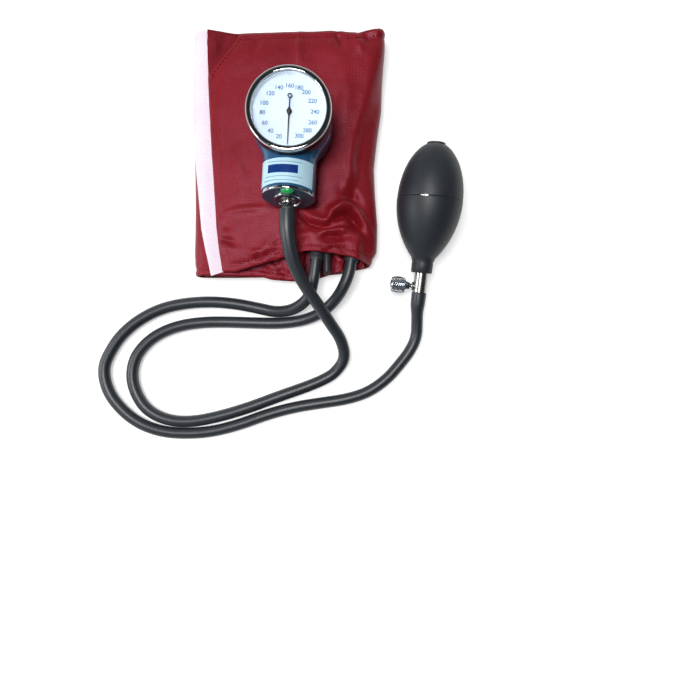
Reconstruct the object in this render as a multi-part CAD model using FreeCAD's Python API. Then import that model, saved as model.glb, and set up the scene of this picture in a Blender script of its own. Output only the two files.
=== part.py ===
import FreeCAD, Part
import math
import os

# Aneroid sphygmomanometer: a folded arm cuff with its rubber bladder, a dial gauge clipped on
# the cuff, a hand bulb with its valves, and two rubber hoses.
# Millimetres and degrees. +Z is up, the set lies on the plane z = 0, +Y points to the
# dial's twelve o'clock, and the origin is under the middle of the set without its hoses.

V = FreeCAD.Vector

# ----------------------------------------------------------------- driving dimensions: cuff
CUFF_LENGTH = 540.0          # unrolled, along the arm's girth
CUFF_WIDTH = 150.0           # along the arm
CUFF_LEFT = -82.6            # outer face of the left folds
CUFF_RIGHT = 34.1            # outer face of the right folds
CUFF_TOP_EDGE = 80.2         # Y of the upper hem
PANEL_THICK = 0.6            # one nylon panel
BLADDER_SPACE = 2.0          # room between the two panels
LAYER_PITCH = 4.5            # rise from one folded layer to the next
FLAP_EDGE_TOP = -74.0        # X of the free end at the upper hem
FLAP_EDGE_BOTTOM = -64.8     # X of the free end at the lower hem
FLAP_CHAMFER_X = 19.0        # cut corner of the free end, along the hem
FLAP_CHAMFER_Y = 26.0        # cut corner of the free end, along the edge
FLAP_HEM = [(-64.8, -69.8), (-28.5, -58.4), (-17.0, -55.4), (1.0, -56.6), (36.0, -62.5)]
TAPE_WIDTH = 25.0            # hook and loop tapes
LOOP_TAPE_THICK = 0.9
HOOK_TAPE_THICK = 0.4
LOOP_TAPE_SHOWS = 7.0        # loop tape left uncovered beside the free end
LOOP_TAPE_END_GAP = 0.5      # tape ends inside the hems

# -------------------------------------------------------------- driving dimensions: bladder
BLADDER_WIDTH = 120.0        # along the arm
BLADDER_THICK = 1.9
BLADDER_WALL = 0.8
BLADDER_RIM = 6.0            # welded border round the air space
BLADDER_MARGIN = 3.0         # from the fold to the bladder's end
PORT_OD = 8.2
PORT_BORE = 3.0
PORT_GRIP = 6.0              # length of hose held inside a port
PORT_ROOT = 4.0              # port's reach over the bladder
STUB_OD = 4.4                # closed third port
STUB_LENGTH = 18.0
STUB_X = -0.9
STUB_Z = 14.6
SLOT_CLEAR = 0.6             # cloth kept this far from a port

# ---------------------------------------------------------------- driving dimensions: hoses
HOSE_OD = 7.4
FIT_CLEAR = 0.05             # hose in port, shaft in bearing

# ---------------------------------------------------------------- driving dimensions: gauge
GAUGE_X = -20.0
GAUGE_Y = 15.4
GAUGE_TURN = -3.0            # gauge lies turned clockwise on the cuff
CLIP_THICK = 0.8
CLIP_GAP = 1.2
CLIP_WIDTH = 16.0
CLIP_SETBACK = 3.0           # clip's ends inside the case's outline
CLIP_SCREW_INSET = 8.0       # clip's bent end to its screws
CLIP_SCREW_SIDE = 4.0        # screws beside the clip's middle line
CLIP_TONGUE_REACH = 4.0      # tongue's end beyond the clip's base
CASE_RADIUS = 23.0
CASE_DEPTH = 26.0
CASE_WALL = 1.4
CASE_FLOOR = 1.6
CASE_EDGE_ROUND = 2.5
NECK_HALF_WIDTH = 15.5
NECK_LENGTH = 40.2           # gauge axis to the neck's rim, on the dial side
NECK_SLANT = 10.0            # end face leans towards the dial side
SHOULDER_START = 4.5
SHOULDER_END = 23.5
SHOULDER_STEPS = 5
CAP_RIM = 1.3                # chrome cap's edge beyond the painted neck
CAP_EDGE_ROUND = 0.8
CAP_DOME = 0.5               # rise of the cap's face over its edge
CAP_WALL = 1.2
CAP_PLUG = 4.0               # cap's skirt inside the neck
BEZEL_PROUD = 0.7            # bezel's skirt beyond the case's wall
BEZEL_HEIGHT = 7.5
BEZEL_LAP = 1.4              # bezel skirt over the case
BEZEL_FACE = 2.4             # case's wall to the bezel's opening
BEZEL_LIP = 1.2
BEZEL_SEAT_WALL = 0.6        # case's wall to the bore that holds dial, spacer and crystal
CRYSTAL_THICK = 1.5
DIAL_THICK = 0.6
SEAT_CLEAR = 0.1
DIAL_HOLE = 1.6
DIAL_FOOT_RADIUS = 0.7
DIAL_FOOT_LENGTH = 1.6
DIAL_FOOT_ROOM = 10.4        # dial feet's axes to the bezel's seat
POINTER_THICK = 0.3
POINTER_LIFT = 0.9           # pointer above the dial
POINTER_TIP = 18.2
POINTER_TAIL = 8.4
POINTER_RING = 1.35
POINTER_RING_HOLE = 0.8
POINTER_HUB = 1.4
POINTER_HUB_HEIGHT = 1.2
POINTER_HUB_DROP = 0.4       # hub below the pointer's blade
HUB_CAP = 0.35               # hub left over the arbor's end
POINTER_ROOT_HALF = 0.42
POINTER_TIP_HALF = 0.16

# ------------------------------------------------------------- driving dimensions: movement
GEAR_MODULE = 0.2
PINION_TEETH = 12
SECTOR_TEETH_FULL = 120      # teeth of the whole wheel the sector is cut from
SECTOR_TEETH = 17            # teeth cut
TOOTH_BACKLASH = 0.05
PRESSURE_ANGLE = 20.0
POINTER_SWEEP = 336.0        # dial sweep from 0 to 300 mmHg
SECTOR_THICK = 0.8
SECTOR_ARM_HALF = 1.2
SECTOR_HUB = 1.8
SECTOR_ANGLE = 24.6          # sector arbor's direction from the pointer arbor
TAIL_ARM = 3.75
TAIL_BEYOND = 0.9
TAIL_HALF = 0.6
ARBOR_RADIUS = 0.5
SECTOR_ARBOR_RADIUS = 0.9
PIVOT_RADIUS = 0.4           # arbor ends that turn in the plates
PIVOT_INSET = 0.2            # pivot's end to the plate's far face
END_SHAKE = 0.05             # arbor's shoulder to a plate
PINION_HEIGHT = 2.2
REAR_PLATE_W = 13.6          # heights above the case's back
PLATE_THICK = 1.0
FRONT_PLATE_W = 20.6
PLATE_ROOM = 2.0             # plates' edge to the case's wall
PINION_W = 16.4
SECTOR_W = 17.2
PILLAR_RADIUS = 1.5
PILLAR_INSET = 1.8           # pillars' axes to the plates' edge
PILLAR_ANGLES = (90.0, 205.0, 330.0)
SCREW_RADIUS = 0.8
SCREW_HEAD_RADIUS = 1.6
SCREW_HEAD = 0.8
HAIRSPRING_W = 19.1
HAIRSPRING_THICK = 0.16
HAIRSPRING_HEIGHT = 0.4
HAIRSPRING_PITCH = 0.56
HAIRSPRING_TURNS = 5
COLLET_RADIUS = 1.3
STUD_RADIUS = 0.4
STUD_GAP = 0.35
ROCKER_Y = 4.1
ROCKER_W = 11.4
ROCKER_RADIUS = 0.8
ROCKER_SWING = 20.0          # turn of the rocking shaft over the whole scale
ROCKER_FINGER_HALF = 0.4
LUG_LEFT = -5.0
LUG_RIGHT = 9.0
LUG_THICK = 1.4
LUG_HALF = 1.7
CAPSULE_BASE_W = 4.4
CAPSULE_BASE_RADIUS = 6.0
CAPSULE_ROOM = 2.3           # capsule's rim to the posts
CAPSULE_HEIGHT = 4.2
CAPSULE_WALL = 0.25
CAPSULE_WAVES = 4
CAPSULE_WAVE = 0.45
PIN_RADIUS = 0.8
PIN_TOP_W = 10.05
AIR_PIPE_RADIUS = 1.0
AIR_PIPE_BORE = 0.5
AIR_PIPE_W = 2.9
AIR_PIPE_DROP_Y = -19.0
AIR_PIPE_BEND = 2.5

# ------------------------------------------------------- driving dimensions: gauge's nipple
NIPPLE_RADIUS = 3.5
NIPPLE_REACH = 6.6           # painted neck's end to the hose
NIPPLE_THREAD_RADIUS = 3.0
NIPPLE_INSIDE = 5.0
NIPPLE_BORE = 0.9
NUT_EDGE_ROOM = 4.8          # nut's edge to the cap's long edges
NUT_THICK = 1.4
NUT_LIP = 1.8                # nut's raised rim
NUT_RECESS = 0.6
BARB_RADIUS = 2.6
BARB_STEM_RADIUS = 2.2
BARB_RIDGE = 1.0             # length of one barb
BARB_LENGTH = 9.0
SEAL_BALL = 5.0              # radius of the seal's round top
SEAL_HEIGHT = 1.5
SEAL_EDGE_GAP = 0.6          # seal to the cap's edge
SEAL_X = 0.6
LABEL_THICK = 0.15
LABEL_NEAR = 24.8            # gauge axis to the label's near edge
LABEL_HEIGHT = 14.2
LABEL_LOW = 1.5              # label's side edges above the neck's middle

# ------------------------------------------------------- driving dimensions: bulb and valve
BULB_MOUTH_X = 58.2          # collar's mouth, seen from above
BULB_MOUTH_Y = -67.9
BULB_LEAN = 5.5              # bulb's axis, clockwise from +Y
BULB_TILT = 9.0              # valve end lies lower
BULB_RADIUS = 20.1
BULB_LENGTH = 76.3
BULB_WIDEST_SHARE = 0.57667  # collar's mouth to the widest ring, of the bulb's length
BULB_NOSE_RIM = 0.166        # rounded front half's end to the flat nose
BULB_NOSE_RADIUS = 6.5
BULB_WALL = 2.6
COLLAR_RADIUS = 6.2
COLLAR_LENGTH = 6.5
COLLAR_ARC_START = 9.5       # collar's mouth to the start of the egg's arc
COLLAR_ARC_RADIUS = 7.6
VALVE_RADIUS = 4.2
VALVE_SHOWS = 12.4           # valve body between collar and hose
VALVE_PLUG = 9.0             # body inside the collar
TAIL_THREAD = 2.0            # hose tail screwed in the valve body, short of the side hole
TAIL_THREAD_RADIUS = 2.0
VALVE_BORE = 1.2
VALVE_BOSS_RADIUS = 2.7
VALVE_BOSS_REACH = 5.2       # valve axis to the boss's face
VALVE_BOSS_AT = 8.6          # below the collar's mouth
SCREW_HOLE_RADIUS = 1.55
BLEED_RADIUS = 0.6
CHECK_BALL_RADIUS = 1.5
CHECK_BALL_TRAVEL = 1.0
CHECK_CHAMBER_RADIUS = 1.8   # also sets the seat, a 45 degree cone
RELEASE_STEM_RADIUS = 1.5
RELEASE_NECK_RADIUS = 1.2
RELEASE_TRAVEL = 1.0         # two turns of a 0.5 mm thread
KNOB_RADIUS = 5.2
KNOB_LENGTH = 10.4
KNOB_START = 8.3             # valve axis to the knob's inner face
KNOB_TAPER = 2.4
KNOB_FLUTES = 16
KNOB_FLUTE_RADIUS = 0.55
O_RING_RADIUS = 0.5
INLET_RADIUS = 4.6
INLET_LENGTH = 9.0
INLET_FLANGE_RADIUS = 5.6
INLET_FLANGE = 1.2
INLET_BORE = 1.0
FILTER_RADIUS = 3.2
FILTER_HOLE = 1.2
FILTER_THICK = 1.2
FILTER_SHELF = 0.8           # body left between filter and ball chamber
OUTLET_FLOOR = 0.5           # ball chamber's floor above the collar's mouth

# Hose routes: corners of straight runs, from the fitting to the cuff.
GAUGE_HOSE_ROUTE = [
    (-22.56, -33.52, 38.15), (-22.9, -42.3, 39.0), (-22.3, -52.0, 37.3), (-20.0, -62.0, 34.3),
    (-16.5, -72.0, 30.6), (-11.0, -81.0, 26.4), (-4.5, -90.5, 21.6), (1.8, -100.0, 16.2),
    (6.4, -110.0, 10.6), (7.6, -120.6, 5.9), (4.2, -130.6, 3.9), (-3.4, -138.0, 3.7),
    (-15.5, -142.6, 3.7), (-33.0, -147.0, 3.7), (-52.0, -153.5, 3.7), (-71.0, -158.2, 3.7),
    (-89.0, -160.6, 3.7), (-104.0, -159.8, 3.7), (-115.6, -154.6, 3.7), (-123.4, -145.6, 3.7),
    (-126.6, -134.0, 3.7), (-125.0, -122.2, 3.7), (-118.8, -112.4, 3.7), (-109.2, -105.0, 3.7),
    (-96.5, -100.5, 3.7), (-81.5, -98.2, 3.7), (-65.5, -97.8, 3.7), (-48.5, -98.8, 3.7),
    (-32.0, -100.6, 3.7), (-17.0, -98.8, 4.2), (-5.0, -92.2, 6.8), (4.2, -84.0, 11.4),
    (10.4, -75.2, 15.4), (13.9, -65.4, 16.4), (15.0, -54.6, 16.4)]
BULB_HOSE_ROUTE = [
    (57.03, -80.09, 11.69), (56.18, -88.94, 10.28), (56.4, -98.0, 6.9), (55.4, -107.6, 4.5),
    (52.0, -117.0, 3.7), (46.0, -126.5, 3.7), (37.0, -135.5, 3.7), (25.0, -142.8, 3.7),
    (10.5, -147.6, 3.7), (-6.0, -151.0, 3.7), (-22.5, -154.8, 3.7), (-39.5, -160.0, 3.7),
    (-57.5, -165.2, 3.7), (-75.0, -169.2, 3.7), (-91.0, -171.0, 3.7), (-107.0, -169.8, 3.7),
    (-121.2, -164.8, 3.7), (-133.2, -155.6, 3.7), (-141.8, -143.0, 3.7), (-144.8, -128.6, 3.7),
    (-142.0, -115.5, 3.7), (-134.5, -104.6, 3.7), (-123.0, -96.0, 3.7), (-108.5, -89.8, 3.7),
    (-92.5, -86.2, 3.7), (-75.5, -85.0, 3.7), (-59.5, -86.4, 3.7), (-45.0, -89.6, 3.7),
    (-33.5, -91.0, 4.6), (-22.8, -88.4, 7.8), (-14.2, -82.2, 12.1), (-9.6, -74.0, 15.6),
    (-7.9, -64.5, 16.4), (-6.9, -54.0, 16.4)]

# ---------------------------------------------------------------------- derived dimensions
LAYER_THICK = BLADDER_SPACE + 2 * PANEL_THICK
FOLD_RADIUS = LAYER_PITCH / 2
LAYER_Z = [LAYER_THICK / 2 + LAYER_PITCH * i for i in range(5)]
CUFF_HEIGHT = LAYER_Z[4] + LAYER_THICK / 2
CUFF_BOTTOM_EDGE = CUFF_TOP_EDGE - CUFF_WIDTH
FOLD_LEFT = CUFF_LEFT + LAYER_THICK / 2
FOLD_RIGHT = CUFF_RIGHT - LAYER_THICK / 2
GAUGE_Z = CUFF_HEIGHT + CLIP_THICK + CLIP_GAP + CLIP_THICK
NECK_AXIS_W = CASE_DEPTH / 2
PINION_PITCH = GEAR_MODULE * PINION_TEETH / 2
SECTOR_PITCH = GEAR_MODULE * SECTOR_TEETH_FULL / 2
GEAR_CENTRES = PINION_PITCH + SECTOR_PITCH
GEAR_RATIO = PINION_TEETH / SECTOR_TEETH_FULL
SECTOR_SWING = POINTER_SWEEP * GEAR_RATIO
SECTOR_X = GEAR_CENTRES * math.cos(math.radians(SECTOR_ANGLE))
SECTOR_Y = GEAR_CENTRES * math.sin(math.radians(SECTOR_ANGLE))
DIAL_W = CASE_DEPTH
POINTER_W = DIAL_W + DIAL_THICK + POINTER_LIFT
BEZEL_BASE_W = CASE_DEPTH - BEZEL_LAP
BEZEL_TOP_W = BEZEL_BASE_W + BEZEL_HEIGHT
CRYSTAL_TOP_W = BEZEL_TOP_W - BEZEL_LIP
CRYSTAL_W = CRYSTAL_TOP_W - CRYSTAL_THICK
NECK_END = NECK_LENGTH + NECK_AXIS_W * math.tan(math.radians(NECK_SLANT))
CAP_FACE = CAP_RIM + CAP_DOME

BEZEL_RADIUS = CASE_RADIUS + BEZEL_PROUD
BEZEL_OPENING = CASE_RADIUS - BEZEL_FACE
BEZEL_SEAT = CASE_RADIUS - BEZEL_SEAT_WALL
PLATE_RADIUS = CASE_RADIUS - CASE_WALL - PLATE_ROOM
PILLAR_CIRCLE = PLATE_RADIUS - PILLAR_INSET
CAPSULE_RADIUS = PILLAR_CIRCLE - PILLAR_RADIUS - CAPSULE_ROOM
CLIP_LENGTH = 2 * (CASE_RADIUS - CLIP_SETBACK)
NUT_RADIUS = NECK_AXIS_W - NUT_EDGE_ROOM
NUT_RECESS_RADIUS = NUT_RADIUS - NUT_LIP
DIAL_FOOT_CIRCLE = BEZEL_SEAT - DIAL_FOOT_ROOM
BULB_WIDEST = BULB_LENGTH * BULB_WIDEST_SHARE
BULB_NOSE_AXIS = ((BULB_LENGTH - BULB_NOSE_RIM - BULB_WIDEST)
                  / math.sqrt(1 - (BULB_NOSE_RADIUS / BULB_RADIUS) ** 2))

PARTS = {}


# -------------------------------------------------------------------------------- helpers
def keep(name, shape):
    """Store a finished piece under its node name."""
    PARTS[name] = shape


def cylinder(radius, low, high, x=0.0, y=0.0):
    return Part.makeCylinder(radius, high - low, V(x, y, low))


def rod(radius, start, end):
    """A cylinder from one point to another."""
    return Part.makeCylinder(radius, (end - start).Length, start, end - start)


def ring(outer, inner, low, high):
    return cylinder(outer, low, high).cut(cylinder(inner, low, high))


def box(x0, x1, y0, y1, z0, z1):
    return Part.makeBox(x1 - x0, y1 - y0, z1 - z0, V(x0, y0, z0))


def prism(points, z0, z1):
    """A flat polygon in X and Y, raised from z0 to z1."""
    corners = [V(x, y, z0) for x, y in points]
    return Part.Face(Part.makePolygon(corners + corners[:1])).extrude(V(0, 0, z1 - z0))


def turned(profile):
    """A closed (radius, height) outline turned round Z."""
    corners = [V(r, 0, z) for r, z in profile]
    face = Part.Face(Part.makePolygon(corners + corners[:1]))
    return face.revolve(V(0, 0, 0), V(0, 0, 1), 360)


def moved(shape, angle=0.0, x=0.0, y=0.0, z=0.0):
    """A copy turned round Z and then shifted."""
    copy = shape.copy()
    copy.rotate(V(0, 0, 0), V(0, 0, 1), angle)
    copy.translate(V(x, y, z))
    return copy


def on_gauge(shape):
    """From the gauge's own frame to the set's frame."""
    return moved(shape, GAUGE_TURN, GAUGE_X, GAUGE_Y, GAUGE_Z)


# ---------------------------------------------------------------------- cuff and its tapes
def fold_path(points):
    """Straight stretches and quarter arcs, in X and Z, of one folded layer's middle."""
    pieces = []
    here = points[0]
    for i in range(1, len(points) - 1):
        corner, after = points[i], points[i + 1]
        inward = unit(here, corner)
        outward = unit(corner, after)
        start = (corner[0] - FOLD_RADIUS * inward[0], corner[1] - FOLD_RADIUS * inward[1])
        end = (corner[0] + FOLD_RADIUS * outward[0], corner[1] + FOLD_RADIUS * outward[1])
        centre = (start[0] + FOLD_RADIUS * outward[0], start[1] + FOLD_RADIUS * outward[1])
        pieces.append(("line", here, start))
        pieces.append(("arc", start, end, centre))
        here = end
    pieces.append(("line", here, points[-1]))
    return [p for p in pieces if p[0] == "arc" or distance(p[1], p[2]) > 1e-6]


def distance(a, b):
    return math.hypot(b[0] - a[0], b[1] - a[1])


def unit(a, b):
    length = distance(a, b)
    return ((b[0] - a[0]) / length, (b[1] - a[1]) / length)


def path_length(pieces):
    quarter = math.pi * FOLD_RADIUS / 2
    return sum(quarter if p[0] == "arc" else distance(p[1], p[2]) for p in pieces)


def offset_edges(pieces, offset, y):
    """The path moved sideways: positive is the outside of the roll."""
    edges = []
    for piece in pieces:
        if piece[0] == "line":
            along = unit(piece[1], piece[2])
            side = (-along[1] * offset, along[0] * offset)
            a = V(piece[1][0] + side[0], y, piece[1][1] + side[1])
            b = V(piece[2][0] + side[0], y, piece[2][1] + side[1])
            edges.append(Part.LineSegment(a, b).toShape())
        else:
            centre = piece[3]
            radius = FOLD_RADIUS + offset
            spokes = [unit(centre, piece[1]), unit(centre, piece[2])]
            middle = unit((0, 0), (spokes[0][0] + spokes[1][0], spokes[0][1] + spokes[1][1]))
            a, m, b = [V(centre[0] + radius * s[0], y, centre[1] + radius * s[1])
                       for s in (spokes[0], middle, spokes[1])]
            edges.append(Part.Arc(a, m, b).toShape())
    return edges


def ribbon(points, low, high, y0, y1):
    """A strip of cloth or rubber that follows the folds, between two offsets."""
    pieces = fold_path(points)
    outer = offset_edges(pieces, high, y0)
    inner = offset_edges(pieces, low, y0)
    caps = [Part.LineSegment(outer[0].Vertexes[0].Point, inner[0].Vertexes[0].Point).toShape(),
            Part.LineSegment(outer[-1].Vertexes[-1].Point, inner[-1].Vertexes[-1].Point).toShape()]
    wire = Part.Wire(Part.__sortEdges__(outer + inner + caps))
    return Part.Face(wire).extrude(V(0, y1 - y0, 0))


def roll_points(inner_end):
    """The flattened roll, from the free flap on top to the inner end in the middle."""
    z = LAYER_Z
    return [(FLAP_EDGE_TOP, z[4]), (FOLD_RIGHT, z[4]), (FOLD_RIGHT, z[0]), (FOLD_LEFT, z[0]),
            (FOLD_LEFT, z[3]), (FOLD_RIGHT - LAYER_PITCH, z[3]), (FOLD_RIGHT - LAYER_PITCH, z[1]),
            (FOLD_LEFT + LAYER_PITCH, z[1]), (FOLD_LEFT + LAYER_PITCH, z[2]), (inner_end, z[2])]


def flap_cutter():
    """What the free flap lacks: its slanted edge, cut corner and lifted hem."""
    top, bottom = CUFF_TOP_EDGE, CUFF_BOTTOM_EDGE
    over = 5.0
    slope = (FLAP_EDGE_BOTTOM - FLAP_EDGE_TOP) / CUFF_WIDTH
    corner_x = FLAP_EDGE_TOP + slope * FLAP_CHAMFER_Y
    outline = [(FLAP_EDGE_TOP + FLAP_CHAMFER_X, top + over), (FLAP_EDGE_TOP + FLAP_CHAMFER_X, top),
               (corner_x, top - FLAP_CHAMFER_Y)]
    outline += FLAP_HEM + [(CUFF_RIGHT + over, FLAP_HEM[-1][1]), (CUFF_RIGHT + over, top + over)]
    low, high = LAYER_Z[4] - LAYER_PITCH / 2, CUFF_HEIGHT + over
    whole = box(CUFF_LEFT - over, FOLD_RIGHT - FOLD_RADIUS, bottom - over, top + over, low, high)
    return whole.cut(prism(outline, low, high))


def route_x(before, after, y):
    """X where the line through two route points is at y."""
    return before[0] + (after[0] - before[0]) * (y - before[1]) / (after[1] - before[1])


def port_slots():
    """Room in the cloth for the hoses and ports, under the flap's outer panel."""
    low = LAYER_Z[2] + LAYER_THICK / 2 + FIT_CLEAR
    high = CUFF_HEIGHT - PANEL_THICK - FIT_CLEAR
    slots = []
    for route in (GAUGE_HOSE_ROUTE, BULB_HOSE_ROUTE):
        half = PORT_OD / 2 + SLOT_CLEAR
        places = [route_x(route[-3], route[-2], CUFF_BOTTOM_EDGE),
                  route_x(route[-2], route[-1], port_root_y())]
        slots.append(box(min(places) - half, max(places) + half, CUFF_BOTTOM_EDGE - 1,
                         port_root_y() + SLOT_CLEAR, low, high))
    half = STUB_OD / 2 + SLOT_CLEAR
    slots.append(box(STUB_X - half, STUB_X + half, CUFF_BOTTOM_EDGE - 1,
                     port_root_y() + SLOT_CLEAR, low, high))
    return slots


def bladder_y():
    """Lower and upper edges of the bladder, centred between the hems with room for necks."""
    upper = CUFF_TOP_EDGE - (CUFF_WIDTH - BLADDER_WIDTH) * 0.4
    return upper - BLADDER_WIDTH, upper


def port_root_y():
    return bladder_y()[0] + PORT_ROOT


def make_cuff():
    straight = path_length(fold_path(roll_points(FOLD_RIGHT - 2 * LAYER_PITCH)))
    inner_end = FOLD_RIGHT - 2 * LAYER_PITCH + CUFF_LENGTH - straight
    points = roll_points(inner_end)
    print("cuff length", round(path_length(fold_path(points)), 2), "inner end", round(inner_end, 2))
    half = BLADDER_SPACE / 2
    limits = {"cuff_outer_panel": (half, half + PANEL_THICK),
              "cuff_inner_panel": (-half - PANEL_THICK, -half)}
    for name, (low, high) in limits.items():
        panel = ribbon(points, low, high, CUFF_BOTTOM_EDGE, CUFF_TOP_EDGE)
        panel = panel.cut(flap_cutter())
        for slot in port_slots():
            panel = panel.cut(slot)
        keep(name, panel)


def make_tapes():
    slope = (FLAP_EDGE_BOTTOM - FLAP_EDGE_TOP) / CUFF_WIDTH
    top = CUFF_TOP_EDGE - LOOP_TAPE_END_GAP
    bottom = CUFF_BOTTOM_EDGE + LOOP_TAPE_END_GAP

    def edge(y):
        return FLAP_EDGE_TOP + slope * (CUFF_TOP_EDGE - y)

    low = LAYER_Z[3] + LAYER_THICK / 2
    left = [(edge(y) - LOOP_TAPE_SHOWS, y) for y in (top, bottom)]
    right = [(edge(y) - LOOP_TAPE_SHOWS + TAPE_WIDTH, y) for y in (bottom, top)]
    keep("loop_tape", prism(left + right, low, low + LOOP_TAPE_THICK))
    high = LAYER_Z[4] - LAYER_THICK / 2
    top -= FLAP_CHAMFER_Y
    bottom = FLAP_HEM[0][1] + TAPE_WIDTH * 0.3 + LOOP_TAPE_END_GAP
    inset = 1.0
    left = [(edge(y) + inset, y) for y in (top, bottom)]
    right = [(edge(y) + inset + TAPE_WIDTH, y) for y in (bottom, top)]
    keep("hook_tape", prism(left + right, high - HOOK_TAPE_THICK, high))


def make_bladder():
    y0, y1 = bladder_y()
    z = LAYER_Z
    start = FOLD_LEFT + FOLD_RADIUS + BLADDER_MARGIN
    points = [(start, z[3]), (FOLD_RIGHT - LAYER_PITCH, z[3]), (FOLD_RIGHT - LAYER_PITCH, z[1]),
              (start + LAYER_PITCH, z[1])]
    half = BLADDER_THICK / 2
    body = ribbon(points, -half, half, y0, y1)
    gap = half - BLADDER_WALL
    inside = [(start + BLADDER_RIM, z[3])] + points[1:3]
    inside.append((start + LAYER_PITCH + BLADDER_RIM, z[1]))
    hollow = ribbon(inside, -gap, gap, y0 + BLADDER_RIM, y1 - BLADDER_RIM)
    bores = []
    for route in (GAUGE_HOSE_ROUTE, BULB_HOSE_ROUTE):
        end, before = V(*route[-1]), V(*route[-2])
        along = (end - before).normalize()
        lip = end - along * PORT_GRIP
        root = lip + along * ((port_root_y() - lip.y) / along.y)
        body = body.fuse(rod(PORT_OD / 2, lip, root))
        bores.append(rod(HOSE_OD / 2 + FIT_CLEAR, lip - along, end + along * FIT_CLEAR))
        inner = root + along * BLADDER_RIM
        drop = V(inner.x, inner.y, LAYER_Z[3])
        bores.append(rod(PORT_BORE / 2, end, root - along * BLADDER_WALL))
        bores.append(rod(gap, root - along * (2 * BLADDER_WALL), drop))
    stub_end = V(STUB_X, port_root_y() - STUB_LENGTH, STUB_Z)
    body = body.fuse(rod(STUB_OD / 2, stub_end, V(STUB_X, port_root_y(), STUB_Z)))
    body = body.fuse(Part.makeSphere(STUB_OD / 2, stub_end))
    body = body.cut(hollow)
    for bore in bores:
        body = body.cut(bore)
    keep("bladder", body)


# ----------------------------------------------------------------------------- gauge case
def oval(half_width, y, inset=0.0):
    """The neck's oval outline in a plane across it."""
    centre = V(0, y, NECK_AXIS_W)
    across = V(half_width - inset, 0, 0)
    upward = V(0, 0, NECK_AXIS_W - inset)
    axes = sorted((across, upward), key=lambda v: -v.Length)
    return Part.Wire(Part.Ellipse(centre + axes[0], centre + axes[1], centre).toShape())


def oval_bar(inset, y_start, y_end):
    face = Part.Face(oval(NECK_HALF_WIDTH, y_start, inset))
    return face.extrude(V(0, y_end - y_start, 0))


def slanted_half_space(y_rim, beyond=60.0):
    """Everything past the neck's slanted end face that meets the dial side at y_rim."""
    block = box(-beyond, beyond, -beyond - y_rim, -y_rim, -beyond, CASE_DEPTH + beyond)
    block.rotate(V(0, -y_rim, CASE_DEPTH), V(1, 0, 0), -NECK_SLANT)
    return block


def neck_normal():
    """Outward direction of the neck's slanted end."""
    slant = math.radians(NECK_SLANT)
    return V(0, -math.cos(slant), math.sin(slant))


def at_neck_end(distance):
    """A point on the hose fitting's axis, at a distance beyond the painted neck's end."""
    return V(0, -NECK_END, NECK_AXIS_W) + neck_normal() * distance


def along_neck(radius, near, far):
    """A round bar on the hose fitting's axis, between two distances from the neck's end."""
    return rod(radius, at_neck_end(near), at_neck_end(far))


def shoulder():
    """Smooth widening from the neck to the round case."""
    wires = []
    for i in range(SHOULDER_STEPS + 1):
        share = i / SHOULDER_STEPS
        blend = (1 + math.cos(math.pi * share)) / 2
        width = NECK_HALF_WIDTH + (CASE_RADIUS - 0.2 - NECK_HALF_WIDTH) * blend
        y = -SHOULDER_START - (SHOULDER_END - SHOULDER_START) * share
        wires.append(oval(width, y))
    return Part.makeLoft(wires, True, False)


def make_case():
    barrel = cylinder(CASE_RADIUS, 0, CASE_DEPTH)
    back_edge = [e for e in barrel.Edges
                 if abs(e.BoundBox.ZMax) < 1e-6 and e.BoundBox.XLength > CASE_RADIUS]
    barrel = barrel.makeFillet(CASE_EDGE_ROUND, back_edge)
    outside = barrel.fuse(shoulder())
    outside = outside.fuse(oval_bar(0.0, -SHOULDER_END, -2 * NECK_LENGTH))
    outside = outside.cut(slanted_half_space(NECK_LENGTH))
    inner_radius = CASE_RADIUS - CASE_WALL
    inside = cylinder(inner_radius, CASE_FLOOR, CASE_DEPTH)
    passage = oval_bar(CASE_WALL, -NECK_LENGTH / 3, -2 * NECK_LENGTH)
    case = outside.cut(inside).cut(passage)
    bezel_room = ring(BEZEL_RADIUS + SEAT_CLEAR, CASE_RADIUS, BEZEL_BASE_W - SEAT_CLEAR,
                      CASE_DEPTH + 1)
    case = case.cut(bezel_room)
    for x, y in clip_screw_places():
        case = case.cut(cylinder(SCREW_RADIUS, -1, CASE_FLOOR + 1, x, y))
    keep("gauge_case", on_gauge(case))


def make_neck_cap():
    slant = math.radians(NECK_SLANT)
    bar = oval_bar(0.0, -NECK_LENGTH / 2, -2 * NECK_LENGTH)
    body = bar.common(slanted_half_space(NECK_LENGTH))
    body = body.cut(slanted_half_space(NECK_LENGTH + CAP_FACE / math.cos(slant)))
    dome_radius = (NECK_HALF_WIDTH ** 2 + CAP_DOME ** 2) / (2 * CAP_DOME)
    body = body.common(Part.makeSphere(dome_radius, at_neck_end(CAP_FACE - dome_radius)))
    face_edges = [e for f in body.Faces if isinstance(f.Surface, Part.Sphere) for e in f.Edges]
    body = body.makeFillet(CAP_EDGE_ROUND, face_edges)
    inset = CASE_WALL + SEAT_CLEAR
    outer = oval_bar(inset, 0, -2 * NECK_LENGTH)
    inner = oval_bar(inset + CAP_WALL, 0, -2 * NECK_LENGTH)
    skirt = outer.common(slanted_half_space(NECK_LENGTH - CAP_PLUG))
    skirt = skirt.cut(slanted_half_space(NECK_LENGTH + CAP_RIM / 2)).cut(inner)
    cap = body.fuse(skirt)
    cap = cap.cut(along_neck(NIPPLE_THREAD_RADIUS + SEAT_CLEAR, -1, NIPPLE_REACH))
    keep("neck_cap", on_gauge(cap))


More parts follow.
